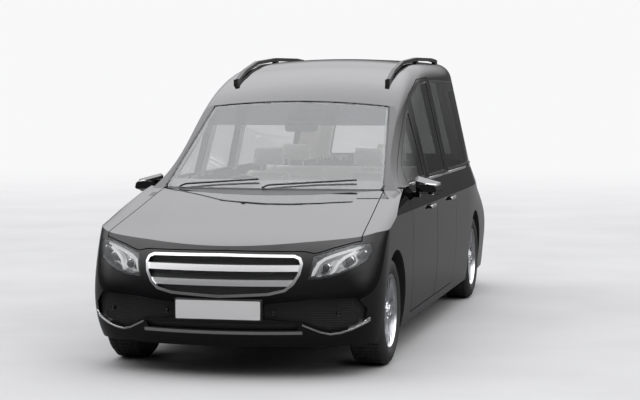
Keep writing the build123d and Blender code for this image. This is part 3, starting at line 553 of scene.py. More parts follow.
COVER, HOUSING, POCKET, GUIDE = 0, 1, 2, 3
give("headlamps", [lamp_cover, gloss_black, lamp_silver, light_guide])
faces = nodes["headlamps"].data.polygons
lamp_solids = sorted(solids_of("headlamps"), key=lambda solid: span("headlamps", solid)[0].y)
for solid in lamp_solids[2:]:
    for index in solid:
        x, z = abs(faces[index].center.x), faces[index].center.z
        if any(inside(bar, x, z) for bar in LIGHT_BARS):
            faces[index].material_index = GUIDE
        else:
            faces[index].material_index = POCKET if inside(LAMP_POCKET, x, z) else HOUSING
print("lamp solids", len(lamp_solids))

# %% [markdown]
# A wheel is pale alloy with the brake disc's darker steel behind its spokes. The load deck is a board
# of veneer. The rollers that stand on its middle are bright metal, and its raised rim is satin.

# %% Wheels and load deck
DECK_TOP, DECK_BOTTOM = 0.765, 0.744
PROUD = 0.0005
ROLLER_REACH = 0.452
DISC_INNER, DISC_OUTER, DISC_FROM, DISC_TO = -0.045, -0.012, 0.07, 0.155
CALIPER_BEHIND, CALIPER_HALF, CALIPER_X = 0.148, 0.046, 0.705


def wheel_rule(centre, normal):
    behind_spokes = DISC_INNER < abs(centre.x) - WHEEL_X < DISC_OUTER
    return int(behind_spokes and DISC_FROM < from_hub(centre) < DISC_TO)


def carrier_rule(centre, normal):
    along = min(abs(centre.y - axle - CALIPER_BEHIND) for axle in AXLES)
    return int(along < CALIPER_HALF and abs(centre.x) > CALIPER_X)


def deck_rule(centre, normal):
    """0 veneer, 1 bright rollers, 2 satin rim, 3 carpet on what carries the board."""
    if centre.z > DECK_TOP + PROUD:
        return 1 if abs(centre.x) < ROLLER_REACH else 2
    return 3 if centre.z < DECK_BOTTOM else 0


for corner in CORNERS:
    give(f"rim_{corner}", [alloy, disc_steel], wheel_rule)
for node in ("axle_carriers", "knuckle_left", "knuckle_right"):
    give(node, [coated_steel, satin], carrier_rule)
give("coffin_deck", [veneer, chrome, satin, carpet], deck_rule)
print("wheels and deck finished")

# %% [markdown]
# New pieces are modelled as by hand: a primitive at its size and place, then edit-mode tools on the
# faces or edges that are picked by where they are. A few helpers keep that short: select one piece,
# start a block or a disc, and pick parts of it by a test.

# %% Helpers for shaping a piece
def close():
    bpy.ops.object.mode_set(mode="OBJECT")


def begin():
    """Leaves nothing selected, so that the next primitive is alone."""
    if bpy.context.object and bpy.context.object.mode != "OBJECT":
        close()
    bpy.ops.object.select_all(action="DESELECT")


def only(piece):
    """Selects one object and nothing else."""
    begin()
    piece.select_set(True)
    bpy.context.view_layer.objects.active = piece


def every_part():
    bpy.ops.mesh.select_all(action="SELECT")


def edit(piece):
    """Opens one object with all of its mesh selected."""
    only(piece)
    bpy.ops.object.mode_set(mode="EDIT")
    every_part()


def shape(name):
    """Names the primitive just added, sets its place into its mesh and opens it for editing."""
    piece = bpy.context.object
    piece.name = name
    piece.data.name = name
    bpy.ops.object.transform_apply(location=True, rotation=True, scale=True)
    bpy.ops.object.mode_set(mode="EDIT")
    return piece


def block(name, place, size):
    begin()
    bpy.ops.mesh.primitive_cube_add(size=1, location=place, scale=size)
    return shape(name)


def disc(name, radius, depth, place, turn=(0, 90, 0), vertices=32):
    begin()
    bpy.ops.mesh.primitive_cylinder_add(vertices=vertices, radius=radius, depth=depth, location=place,
                                        rotation=[radians(angle) for angle in turn])
    return shape(name)


def pick(test, kind="faces"):
    """Selects the open mesh's faces, edges or verts that pass a test."""
    mesh = bpy.context.object.data
    bpy.ops.mesh.select_mode(type={"faces": "FACE", "edges": "EDGE", "verts": "VERT"}[kind])
    bpy.ops.mesh.select_all(action="DESELECT")
    open_mesh = bmesh.from_edit_mesh(mesh)
    for part in [part for part in getattr(open_mesh, kind) if test(part)]:
        part.select_set(True)
    open_mesh.select_flush_mode()
    bmesh.update_edit_mesh(mesh)


def inset(*steps):
    """Insets the selected faces step by step, each with its own width and depth."""
    for thickness, depth in steps:
        bpy.ops.mesh.inset(thickness=thickness, depth=depth)


def round_outline(offset, segments):
    """Rounds the edges that run along the car, so that a block has a rounded outline."""
    pick(lambda edge: abs((edge.verts[0].co - edge.verts[1].co).normalized().y) > 0.9, "edges")
    bpy.ops.mesh.bevel(offset=offset, segments=segments, affect="EDGES")


print("shaping helpers ready")

# %% [markdown]
# Every piece is finished the same way: its modifiers are applied, its faces turned outwards, its edges
# shaded, and it gets its finish and the body it rides on. What stands on both sides of the car is
# modelled on the left, and its copy is mirrored with a mesh of its own.

# %% Helpers for finishing a piece
BLACK_TRIM = (black_plastic, "body", "trim_black")


def join_up(pieces):
    only(pieces[0])
    for piece in pieces[1:]:
        piece.select_set(True)
    bpy.ops.object.join()
    return pieces[0]


def modify(piece, kind, **settings):
    """Adds a modifier and applies it."""
    only(piece)
    bpy.ops.object.modifier_add(type=kind)
    modifier = piece.modifiers[-1]
    for key, value in settings.items():
        setattr(modifier, key, value)
    bpy.ops.object.modifier_apply(modifier=modifier.name)


def soften(piece, width):
    modify(piece, "BEVEL", width=width, segments=2, limit_method="ANGLE", angle_limit=radians(40))


def lay_on(piece, node, forward=True, axis="y"):
    """Lays a skin on a node, along the car or across it."""
    modify(piece, "SHRINKWRAP", target=nodes[node], wrap_method="PROJECT", use_negative_direction=not forward,
           use_positive_direction=forward, **{f"use_project_{axis}": True})


def hand_over(piece, material, body, slot, smooth=35):
    """Turns the faces outwards, shades the piece and gives it its finish and its body."""
    edit(piece)
    bpy.ops.mesh.normals_make_consistent(inside=False)
    close()
    bpy.ops.object.shade_smooth_by_angle(angle=radians(smooth))
    piece.data.materials.clear()
    piece.data.materials.append(material)
    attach(piece, body)
    return piece


def split_finish(piece, material, test):
    """Gives a second finish to the faces that pass a test."""
    piece.data.materials.append(material)
    for face in piece.data.polygons:
        face.material_index = int(test(face))


def other_side(name):
    return name.replace("left", "right")


def twin(piece):
    """A copy with its own mesh, mirrored to the right side of the car."""
    other = piece.copy()
    other.data = piece.data.copy()
    other.name = other_side(piece.name)
    other.data.name = other.name
    other.parent = None
    bpy.context.scene.collection.objects.link(other)
    edit(other)
    bpy.ops.transform.resize(value=(-1, 1, 1), center_override=(0, 0, 0))
    bpy.ops.mesh.flip_normals()
    close()
    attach(other, other_side(body_of(piece)[0]))
    return other


def slab(name, x, y, z, material, body, slot, round_off=0.003):
    """A block between two widths, two distances along the car and two heights, its edges softened."""
    place, size = zip(*[((low + high) / 2, high - low) for low, high in (x, y, z)])
    piece = block(name, place, size)
    every_part()
    bpy.ops.mesh.bevel(offset=round_off, segments=2, affect="EDGES")
    close()
    return hand_over(piece, material, body, slot)


print("finishing helpers ready")

# %% [markdown]
# A window seal is the ring between the glass and the panel. The pane already has the right outline
# and curve, so its outer face is copied, inset all round, and all but the rim is thrown away. A
# little thickness makes the rim a rubber lip.

# %% Window seals
MERGE = 0.00002


def outer_face(node, name, direction, spread=0.5):
    """A copy of the faces of a node that look in one direction, merged into one skin."""
    begin()
    piece = bpy.data.objects.new(name, nodes[node].data.copy())
    bpy.context.scene.collection.objects.link(piece)
    edit(piece)
    bpy.ops.mesh.remove_doubles(threshold=MERGE)
    look = Vector(direction).normalized()
    pick(lambda face: face.normal.dot(look) < spread)
    bpy.ops.mesh.delete(type="FACE")
    return piece


def lift(by):
    every_part()
    bpy.ops.transform.shrink_fatten(value=by)
    close()


def rim_of(piece, width, lifted, thickness):
    """Leaves only the outer rim of an open skin, lifts it and gives it thickness."""
    every_part()
    bpy.ops.mesh.inset(thickness=width, use_even_offset=True)
    bpy.ops.mesh.delete(type="FACE")
    lift(lifted)
    modify(piece, "SOLIDIFY", thickness=thickness, offset=1.0, use_even_offset=True)


SIDEWAYS = (1, 0, 0.2)
for node, name, look, width, thickness, body in (
        ("glass_front_left", "glass_front_seal_left", SIDEWAYS, 0.013, 0.0035, "door_front_left"),
        ("glass_rear_left", "glass_rear_seal_left", SIDEWAYS, 0.013, 0.0035, "door_rear_left"),
        ("quarter_glass", "quarter_glass_seal_left", SIDEWAYS, 0.013, 0.0035, "body"),
        ("tailgate_glass", "tailgate_glass_seal", (0, 1, 0.2), 0.016, 0.0035, "tailgate"),
        ("windscreen", "windscreen_seal", (0, -0.5, 0.85), 0.014, 0.0030, "body")):
    seal = outer_face(node, name, look)
    rim_of(seal, width, 0.0, thickness)
    hand_over(seal, black_plastic, body, "trim_black")
    if name.endswith("left"):
        twin(seal)
print("panes with a seal:", 8)

# %% [markdown]
# Behind the windscreen a black printed border hides the glue, wider at the foot where the wipers
# rest, and a dark film shades the top. All lie on the inner face of the glass, so they are cut from a
# copy of it: the border by an inset, the foot and the film by a cut across.

# %% Screen border and shade film
SHADE_FROM = 1.475
FOOT_BELOW = 1.124
INNER_LOOK = (0, 0.5, -0.85)

border = outer_face("windscreen", "windscreen_border", INNER_LOOK)
rim_of(border, 0.030, 0.0008, 0.0006)
hand_over(border, *BLACK_TRIM)


def keep_between(low=None, high=None):
    """Cuts the open skin across at heights and throws away what lies below or above them."""
    for height, cut in ((low, {"clear_inner": True}), (high, {"clear_outer": True})):
        if height is not None:
            every_part()
            bpy.ops.mesh.bisect(plane_co=(0, 0, height), plane_no=(0, 0, 1), **cut)


for name, cuts, material, slot in (
        ("windscreen_foot_border", {"high": FOOT_BELOW}, black_plastic, "trim_black"),
        ("windscreen_shade_film", {"low": SHADE_FROM}, shade_film, "glass")):
    film = outer_face("windscreen", name, INNER_LOOK)
    keep_between(**cuts)
    lift(0.0020)
    modify(film, "SOLIDIFY", thickness=0.0004, offset=1.0)
    hand_over(film, material, "body", slot)
print("shade film faces:", len(film.data.polygons))

# %% [markdown]
# A bright moulding runs under all the side windows. It is one thin bar per panel, cut where the
# doors part, so that each length rides on its own door. The bar follows the body side, which bends
# inwards at the tail, so each of its points is set where a ray from outside meets the panel.

# %% Waist mouldings
WAIST_Z = 1.086
BELOW_WAIST = 0.010
OUTSIDE_X = 1.05
STEP_MM = 120


def moulding(name, panel, body, start, end, deep=0.018):
    """A slim bar along the left side between two distances from the nose, laid on a panel."""
    begin()
    place = (OUTSIDE_X, station((start + end) / 2), WAIST_Z)
    steps = max(2, int((end - start) / STEP_MM))
    bpy.ops.mesh.primitive_grid_add(x_subdivisions=steps, y_subdivisions=2, size=1, location=place,
                                    rotation=(0, radians(90), 0))
    piece = shape(name)
    every_part()
    bpy.ops.transform.resize(value=(1, (end - start) / 1000, deep), center_override=place)
    close()
    for vert in piece.data.vertices:
        _, met, _, _ = nodes[panel].ray_cast((OUTSIDE_X, vert.co.y, WAIST_Z - BELOW_WAIST), (-1, 0, 0))
        vert.co.x = met.x
    modify(piece, "SOLIDIFY", thickness=0.009, offset=0.0)
    soften(piece, 0.003)
    return hand_over(piece, chrome, body, "chrome")


for part, panel, body, start, end in (("front", "door_front_left", "door_front_left", 1690, 2466),
                                      ("rear", "door_rear_left", "door_rear_left", 2508, 3390),
                                      ("quarter", "side_frame_left", "body", 3412, 5240)):
    twin(moulding(f"waist_moulding_{part}_left", panel, body, start, end))
print("mouldings:", 6)

# %% [markdown]
# The frame's tyre is smooth, so it is replaced. A cylinder gives the tread band. Two insets on both
# ends at once, each with its own depth, push the walls out, two more bring them back in to the bead,
# and the open ends are bridged into the bore. The tread is one row of blocks across the band, which
# Spin copies round the wheel.

# %% Tyres
TREAD_RADIUS = 0.3365
TREAD_WIDTH = 0.172
GROOVE = 0.007
WALL_STEPS = ((0.014, 0.019), (0.036, 0.0125), (0.030, -0.0065), (0.022, -0.011))
ROWS = 64
BLOCK_SHARE = 0.78
BLOCK_ROW = ((-0.0695, 0.030, 0.25), (-0.0335, 0.029, 0.12), (0.0, 0.026, 0.0), (0.0335, 0.029, -0.12),
             (0.0695, 0.030, -0.25))


def tread_band(axle):
    tyre = disc("tyre_band", TREAD_RADIUS - GROOVE, TREAD_WIDTH, (WHEEL_X, axle, HUB_Z), vertices=128)
    pick(lambda face: len(face.verts) > 4)
    inset(*WALL_STEPS)
    bpy.ops.mesh.delete(type="ONLY_FACE")
    pick(lambda edge: edge.is_boundary, "edges")
    bpy.ops.mesh.bridge_edge_loops()
    close()
    return tyre


def tread_blocks(axle):
    """One row of five blocks, slanted at the shoulders, then spun into rows round the wheel."""
    pitch = 2 * pi * TREAD_RADIUS / ROWS
    blocks = []
    for across, width, slant in BLOCK_ROW:
        tread = block("tread_block", (WHEEL_X + across, axle, HUB_Z + TREAD_RADIUS - GROOVE / 2),
                      (width, pitch * BLOCK_SHARE, GROOVE + 0.002))
        pick(lambda face: face.normal.z < -0.5)
        bpy.ops.mesh.delete(type="ONLY_FACE")
        for sign in (-1, 1):
            pick(lambda vert: sign * (vert.co.x - WHEEL_X - across) > 0, "verts")
            bpy.ops.transform.translate(value=(0, sign * slant * width / 2, 0))
        close()
        blocks.append(tread)
    row = join_up(blocks)
    edit(row)
    bpy.ops.mesh.spin(steps=ROWS, dupli=True, angle=2 * pi, center=(WHEEL_X, axle, HUB_Z), axis=(1, 0, 0))
    close()
    return row


for axle_name, axle in AXLE_PLACES:
    tyre = join_up([tread_band(axle), tread_blocks(axle)])
    tyre.name = tyre.data.name = f"treaded_tyre_{axle_name}_left"
    only(tyre)
    bpy.ops.object.shade_smooth_by_angle(angle=radians(38))
    tyre.data.materials.clear()
    tyre.data.materials.append(rubber)
    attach(tyre, f"wheel_{axle_name}_left")
    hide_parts(f"tyre_{axle_name}_left")
    other = twin(tyre)
    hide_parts(f"tyre_{axle_name}_right")
print("tyre faces:", len(tyre.data.polygons))

# %% [markdown]
# Wheel bolts sit in a ring between the spokes' roots, and a plain domed cap closes the hub. All
# start as cylinders: the bolt is inset for its socket, the cap is inset and pushed out. The valve
# is a thin stem that leans out of the rim.

# %% Bolts and hub caps
BOLT_RING = 0.046
BOLTS = 5


def wheel_trim(axle, name):
    pieces = [disc(name, 0.033, 0.012, (WHEEL_X + 0.093, axle, HUB_Z), vertices=40)]
    pick(lambda face: face.normal.x > 0.9)
    inset((0.004, 0.003), (0.003, -0.002), (0.010, 0.002))
    close()
    for step in range(BOLTS):
        angle = 2 * pi * (step + 0.5) / BOLTS
        place = (WHEEL_X + 0.0875, axle + BOLT_RING * cos(angle), HUB_Z + BOLT_RING * sin(angle))
        pieces.append(disc("bolt", 0.0095, 0.016, place, vertices=6))
        pick(lambda face: face.normal.x > 0.9)
        inset((0.003, 0), (0.0005, -0.006))
        close()
    pieces.append(disc("valve", 0.0035, 0.030, (WHEEL_X + 0.078, axle, HUB_Z + 0.205), (0, 70, 0), 10))
    pick(lambda face: face.normal.x > 0.8)
    inset((0.001, 0.003))
    close()
    return join_up(pieces)


for axle_name, axle in AXLE_PLACES:
    trim = wheel_trim(axle, f"hub_trim_{axle_name}_left")
    twin(hand_over(trim, satin, f"wheel_{axle_name}_left", "alloy"))
print("hub trims:", 4)

# %% [markdown]
# Each headlamp holds three projector lenses between its light bars. A projector is a short cylinder
# whose front is inset into a bright ring, and then, step by step, into a dome of dark glass.

# %% Headlamp projectors
PROJECTORS = ((0.612, station(240), 0.664, 0.026), (0.738, station(322), 0.700, 0.029),
              (0.812, station(392), 0.742, 0.018))
RING = 0.0045


def projector(name, x, y, z, radius):
    lens = disc(name, radius, 0.05, (x, y, z), (90, 0, 0))
    pick(lambda face: face.normal.y < -0.9)
    inset((0.003, 0.004), (0.002, -0.006), *[(radius * 0.22, radius * 0.14)] * 3)
    close()
    hand_over(lens, chrome, "body", "lamp")

    def in_dome(face):
        return hypot(face.center.x - x, face.center.z - z) < radius - RING and face.center.y < y

    split_finish(lens, display, in_dome)
    return lens


for number, placed in enumerate(PROJECTORS):
    twin(projector(f"projector_{number}_left", *placed))
print("projectors:", 2 * len(PROJECTORS))

# %% [markdown]
# A fine black net closes each side intake. One flat grid covers the opening and is cut to its
# outline, a Shrinkwrap lays it on the frame's backing sheet, and a Wireframe turns its edges into
# bars.

# %% Intake nets
NET_OUTLINE = [(0.285, 0.385), (0.495, 0.363), (0.580, 0.320), (0.642, 0.301), (0.730, 0.315), (0.822, 0.355),
               (0.832, 0.418), (0.793, 0.470), (0.563, 0.468), (0.285, 0.442)]
NET_X, NET_Z = (0.280, 0.840), (0.300, 0.475)
AHEAD = -3.2

middle_of_net = (sum(NET_X) / 2, AHEAD, sum(NET_Z) / 2)
begin()
bpy.ops.mesh.primitive_grid_add(x_subdivisions=36, y_subdivisions=12, size=1, rotation=(radians(90), 0, 0),
                                location=middle_of_net)
net = shape("intake_net_left")
every_part()
bpy.ops.transform.resize(value=(NET_X[1] - NET_X[0], 1, NET_Z[1] - NET_Z[0]), center_override=middle_of_net)


def middle(face):
    return sum((v.co for v in face.verts), Vector()) / len(face.verts)


pick(lambda face: not inside(NET_OUTLINE, middle(face).x, middle(face).z))
bpy.ops.mesh.delete(type="FACE")
close()
lay_on(net, "radiator_grille")
edit(net)
pick(lambda vert: vert.co.y < AHEAD + 0.1, "verts")
bpy.ops.mesh.delete(type="VERT")
every_part()
bpy.ops.transform.translate(value=(0, -0.002, 0))
close()
modify(net, "WIREFRAME", thickness=0.003, use_replace=True, use_even_offset=False)
twin(hand_over(net, *BLACK_TRIM))
print("net faces:", len(net.data.polygons))

# %% [markdown]
# The number plate is blank. It stands on a black holder that bridges the gap to the bowed bumper.
# Plate and holder are blocks, and the plate's field is raised a hair by an inset.

# %% Number plate
PLATE_Z = 0.421
PLATE_GAP = 0.006
plate_white = moulded("plate_white", grey(0.74), grey(0.80), 0.3, 900.0, 0.0001, 0.1)


def plate(name, y, z, body):
    holder = slab(name + "_holder", (-0.268, 0.268), (y, y + 0.050), (z - 0.064, z + 0.064), black_plastic,
                  body, "trim_black", 0.004)
    piece = block(name, (0, y - 0.001, z), (0.520, 0.006, 0.111))
    round_outline(0.008, 4)
    pick(lambda face: face.normal.y < -0.9)
    inset((0.004, 0.0006))
    close()
    return holder, hand_over(piece, plate_white, body, "trim_black")


plate("front_plate", NOSE - PLATE_GAP, PLATE_Z, "body")
print("blank plate at", PLATE_Z)

# %% [markdown]
# A satin lip runs under each side intake, and parking sensors are small discs set in the bumper.
# The lip is a strip drawn through points on the front view, laid on the bumper by a Shrinkwrap and
# thickened. A disc is a cylinder with a groove.

# %% Bumper details
LIP = [(0.492, 0.331), (0.545, 0.306), (0.592, 0.284), (0.645, 0.270), (0.700, 0.276), (0.770, 0.298),
       (0.845, 0.334)]
BLADE = [(0.745, 0.296), (0.790, 0.314), (0.840, 0.338), (0.862, 0.352)]
BEFORE, BEHIND = -3.3, 3.3


def strip_along(name, points, wide, panel, material, body="body", start=BEFORE, thick=0.008):
    """A slim bar through points of widths and heights, laid on the front or the back of a panel."""
    begin()
    bpy.ops.mesh.primitive_plane_add(size=1, location=(0, start, 0), rotation=(radians(90), 0, 0))
    piece = shape(name)
    first_length = bmesh.from_edit_mesh(piece.data)
    corners = sorted(first_length.verts, key=lambda vert: (vert.co.x, vert.co.z))
    ends = [(x, z + side * wide / 2) for x, z in points[:2] for side in (-1, 1)]
    for vert, (x, z) in zip(corners, ends):
        vert.co = Vector((x, start, z))
    bmesh.update_edit_mesh(piece.data)
    for (x0, z0), (x1, z1) in zip(points[1:], points[2:]):
        pick(lambda edge: all(abs(v.co.x - x0) < 1e-5 for v in edge.verts), "edges")
        bpy.ops.mesh.extrude_region_move(TRANSFORM_OT_translate={"value": (x1 - x0, 0, z1 - z0)})
    every_part()
    bpy.ops.mesh.subdivide(number_cuts=3)
    close()
    lay_on(piece, panel, start < 0)
    modify(piece, "SOLIDIFY", thickness=thick, offset=0.0)
    soften(piece, 0.002)
    return hand_over(piece, material, body, "chrome")


def sensor(name, x, y, z, aim):
    piece = disc(name, 0.012, 0.02, (x, y, z), (90, 0, aim), 24)
    pick(lambda face: len(face.verts) > 4)
    inset((0.002, -0.001), (0.0015, 0.0015))
    close()
    return hand_over(piece, gloss_black, "body", "trim_black")


twin(strip_along("intake_lip_left", LIP, 0.011, "front_bumper", satin))
twin(strip_along("intake_blade_left", BLADE, 0.024, "front_bumper", satin, thick=0.005))
for number, (x, d, z, aim) in enumerate(((0.700, 150, 0.400, 35), (0.330, 40, 0.405, 12))):
    twin(sensor(f"front_sensor_{number}_left", x, station(d), z, aim))
print("sensors:", 4)

# %% [markdown]
# Inside the windscreen hang the rear-view mirror and a dark sensor pod. The mirror is a rounded
# block that is inset for its glass, on a short stalk.

# %% Rear-view mirror
slab("screen_sensor_pod", (-0.075, 0.075), stations(2085, 2200), (1.500, 1.560), *BLACK_TRIM, 0.014)
cabin_mirror = block("rear_view_mirror", (0, station(2190), 1.455), (0.230, 0.026, 0.066))
round_outline(0.022, 5)
pick(lambda face: face.normal.y > 0.9)
inset((0.005, -0.002))
close()
hand_over(cabin_mirror, *BLACK_TRIM)
split_finish(cabin_mirror, mirror_glass, lambda face: face.normal.y > 0.9 and face.area > 0.004)
slab("rear_view_mirror_stalk", (-0.012, 0.012), stations(2150, 2185), (1.480, 1.530), *BLACK_TRIM, 0.004)
print("rear-view mirror faces:", len(cabin_mirror.data.polygons))

# %% [markdown]
# The dash needs its instruments to read as a dash: a hooded display behind the wheel, a wide
# display in the middle, four air vents with fins, and stalks on the steering column. The car is
# driven from the right, so wheel, hood and stalks stand at negative X.

# %% Dash details
DASH_FACE = 1985
COLUMN_X = -0.370
LEAN = 0.012
FIN_PITCH = 0.0105


def display_panel(name, x0, x1, z0, z1, d):
    piece = block(name, ((x0 + x1) / 2, station(d), (z0 + z1) / 2), (x1 - x0, 0.018, z1 - z0))
    pick(lambda vert: vert.co.z > (z0 + z1) / 2, "verts")
    bpy.ops.transform.translate(value=(0, -LEAN, 0))
    round_outline(0.010, 4)
    pick(lambda face: face.normal.y > 0.9)
    inset((0.005, -0.0015))
    close()
    hand_over(piece, dash_skin, "body", "dash")
    field = 0.3 * (x1 - x0) * (z1 - z0)
    split_finish(piece, display, lambda face: face.normal.y > 0.9 and face.area > field)


def air_vent(name, x, z):
    pieces = [disc(name, 0.036, 0.030, (x, station(DASH_FACE + 2), z), (90, 0, 0))]
    pick(lambda face: face.normal.y > 0.9)
    inset((0.005, 0.003), (0.002, -0.010))
    close()
    for step in (-2, -1, 0, 1, 2):
        reach = (0.028 ** 2 - (step * FIN_PITCH) ** 2) ** 0.5
        place = (x, station(DASH_FACE + 12), z + step * FIN_PITCH)
        pieces.append(block("fin", place, (2 * reach, 0.010, 0.002)))
        pick(lambda face: face.normal.y > 0.9)
        bpy.ops.transform.translate(value=(0, 0, -0.003))
        close()
    return hand_over(join_up(pieces), satin, "body", "dash")


display_panel("driver_display", -0.510, -0.230, 0.985, 1.065, 1975)
display_panel("middle_display", -0.150, 0.150, 0.975, 1.070, 1972)
slab("instrument_hood", (-0.540, -0.200), stations(1880, 1968), (1.030, 1.078), dash_skin, "body", "dash",
     0.016)
for number, x in enumerate((-0.700, -0.055, 0.055, 0.700)):
    air_vent(f"air_vent_{number}", x, 0.925)
for side, label in ((-1, "right"), (1, "left")):
    ends = sorted((side * 0.035, side * 0.165))
    slab(f"column_stalk_{label}", [COLUMN_X + end for end in ends], stations(2052, 2064), (0.930, 0.944),
         black_plastic, "body", "dash", 0.004)
slab("glove_box_lid", (0.230, 0.680), stations(1960, 1978), (0.800, 0.880), dash_skin, "body", "dash", 0.006)
print("dash details:", 10)

# %% [markdown]
# The seats are stuffed hide. Each cushion starts as its side profile: a circle of points laid on the
# profile and extruded across the car. Two cuts mark the side bolsters, and the middle is sunk between
# them. A voxel remesh makes one even skin, cloth pressure swells it, and the travel of each point is
# capped. The sewn channels are pressed in last, because the remesh would wipe them out.

# %% Helpers for padded pieces
SWELL = 0.010
PRESSURE = 4.0
CLOTH_FRAMES = 20
CHANNEL = 0.007
FALL_OFF = 2.718


def profile_block(name, profile, x0, x1, shift):
    """A solid between two widths with a given side profile."""
    begin()
    bpy.ops.mesh.primitive_circle_add(vertices=len(profile), fill_type="NGON", location=(x0, 0, 0))
    piece = shape(name)
    ring = bmesh.from_edit_mesh(piece.data)
    for vert, (d, z) in zip(ring.verts, profile):
        vert.co = (x0, station(d + shift), z / 1000)
    bmesh.update_edit_mesh(piece.data)
    every_part()
    bpy.ops.mesh.extrude_region_move(TRANSFORM_OT_translate={"value": (x1 - x0, 0, 0)})
    every_part()
    bpy.ops.mesh.normals_make_consistent(inside=False)
    return piece


def sink_middle(strips, aim, depth):
    """Cuts the open block across at the bolsters and presses the faces between them inwards."""
    for x in sorted({edge for strip in strips for edge in strip}):
        every_part()
        bpy.ops.mesh.bisect(plane_co=(x, 0, 0), plane_no=(1, 0, 0))
    for x0, x1 in strips:
        pick(lambda face: face.normal.dot(aim) > 0.9 and x0 < middle(face).x < x1)
        inset((0.022, 0))
        bpy.ops.transform.translate(value=[-depth * v for v in aim])


def inflate(piece, voxel, cap):
    """Even skin, then swollen by cloth pressure, each point by no more than the cap."""
    every_part()
    bpy.ops.mesh.normals_make_consistent(inside=False)
    close()
    modify(piece, "REMESH", mode="VOXEL", voxel_size=voxel)
    modify(piece, "SMOOTH", factor=0.5, iterations=8)
    edit(piece)
    bpy.ops.transform.shrink_fatten(value=-SWELL)
    close()
    start = [vert.co.copy() for vert in piece.data.vertices]
    only(piece)
    bpy.ops.object.modifier_add(type="CLOTH")
    cloth = piece.modifiers[-1]
    cloth.settings.use_pressure = True
    cloth.settings.uniform_pressure_force = PRESSURE
    cloth.settings.quality = 4
    cloth.settings.effector_weights.gravity = 0
    for number in range(1, CLOTH_FRAMES + 1):
        bpy.context.scene.frame_set(number)
    bpy.ops.object.modifier_apply(modifier=cloth.name)
    bpy.context.scene.frame_set(1)
    for vert, place in zip(piece.data.vertices, start):
        move = vert.co - place
        if move.length > cap:
            vert.co = place + move * (cap / move.length)


def sew(piece, strips, aim, along, channels):
    """Presses sewn channels across the middle and one down each side of it."""
    modify(piece, "SUBSURF", levels=1, render_levels=1)
    for vert in piece.data.vertices:
        if vert.normal.dot(aim) < 0.5:
            continue
        for x0, x1 in strips:
            if x0 - 0.03 < vert.co.x < x1 + 0.03:
                inner = x0 + 0.012 < vert.co.x < x1 - 0.012
                gaps = [abs(vert.co[along] - place) for place in channels] if inner else []
                gaps += [abs(vert.co.x - x0), abs(vert.co.x - x1)]
                press = CHANNEL * sum(FALL_OFF ** -((gap / CHANNEL) ** 2) for gap in gaps)
                vert.co -= aim * min(press, 1.3 * CHANNEL)


def soft(piece):
    hand_over(piece, hide, "body", "leather", 80)
    return piece


def soft_twin(piece):
    twin(piece)


print("padding helpers ready")

# %% [markdown]
# A seat is a cushion, a back and a head cushion on two posts, and each is a profile in distances from
# the nose and heights, in millimetres. The bench behind uses the same profiles further back. The
# front backs narrow towards the shoulders.

# %% Padded seats
CUSHION = [(2172, 512), (2160, 600), (2200, 618), (2540, 590), (2566, 520), (2540, 500), (2200, 500)]
BACKREST = [(2590, 540), (2584, 640), (2696, 1118), (2724, 1140), (2772, 1140), (2792, 1122), (2738, 640),
            (2700, 532)]
HEADREST = [(2724, 1160), (2726, 1270), (2744, 1300), (2782, 1302), (2800, 1280), (2800, 1158), (2740, 1150)]
BENCH_SHIFT = 880
CUSHION_CHANNELS = (2270, 2345, 2420, 2495)
BACK_CHANNELS = (0.70, 0.78, 0.86, 0.94, 1.02)
ACROSS, POST_APART = 0.130, 0.110
CAP, HEAD_CAP = 0.012, 0.010


def seat_cushion(name, x0, x1, strips, shift, voxel):
    aim = Vector((0, -0.08, 1)).normalized()
    piece = profile_block(name, CUSHION, x0, x1, shift)
    sink_middle(strips, aim, 0.016)
    inflate(piece, voxel, CAP)
    sew(piece, strips, aim, 1, stations(*[d + shift for d in CUSHION_CHANNELS]))
    return soft(piece)


def seat_back(name, x0, x1, strips, shift, voxel, shoulders=1.0):
    aim = Vector((0, -1, 0.23)).normalized()
    piece = profile_block(name, BACKREST, x0, x1, shift)
    bpy.ops.mesh.bisect(plane_co=(0, 0, 0.930), plane_no=(0, 0, 1))
    pick(lambda vert: vert.co.z > 1.0, "verts")
    bpy.ops.transform.resize(value=(shoulders, 1, 1), center_override=((x0 + x1) / 2, 0, 0))
    sink_middle(strips, aim, 0.018)
    inflate(piece, voxel, CAP)
    sew(piece, strips, aim, 2, BACK_CHANNELS)
    return soft(piece)


def head_cushion(row, x, shift):
    piece = profile_block(f"head_cushion_{row}_left", HEADREST, x - ACROSS, x + ACROSS, shift)
    pick(lambda vert: vert.co.z > 1.25, "verts")
    bpy.ops.transform.resize(value=(0.86, 1, 1), center_override=(x, 0, 0))
    inflate(piece, 0.008, HEAD_CAP)
    modify(piece, "SUBSURF", levels=1, render_levels=1)
    soft_twin(soft(piece))
    posts = []
    for side in (-1, 1):
        place = (x + side * POST_APART / 2, station(2764 + shift), 1.145)
        posts.append(disc("post", 0.006, 0.110, place, (-6, 0, 0), 12))
        close()
    posts = join_up(posts)
    posts.name = f"head_posts_{row}_left"
    twin(hand_over(posts, satin, "body", "leather"))


SEAT_X0, SEAT_X1, BENCH_X = 0.142, 0.619, 0.634
MIDDLES = [(SEAT_X0 + 0.095, SEAT_X1 - 0.095)]
BENCH_MIDDLES = [(-0.540, -0.150), (0.150, 0.540)]

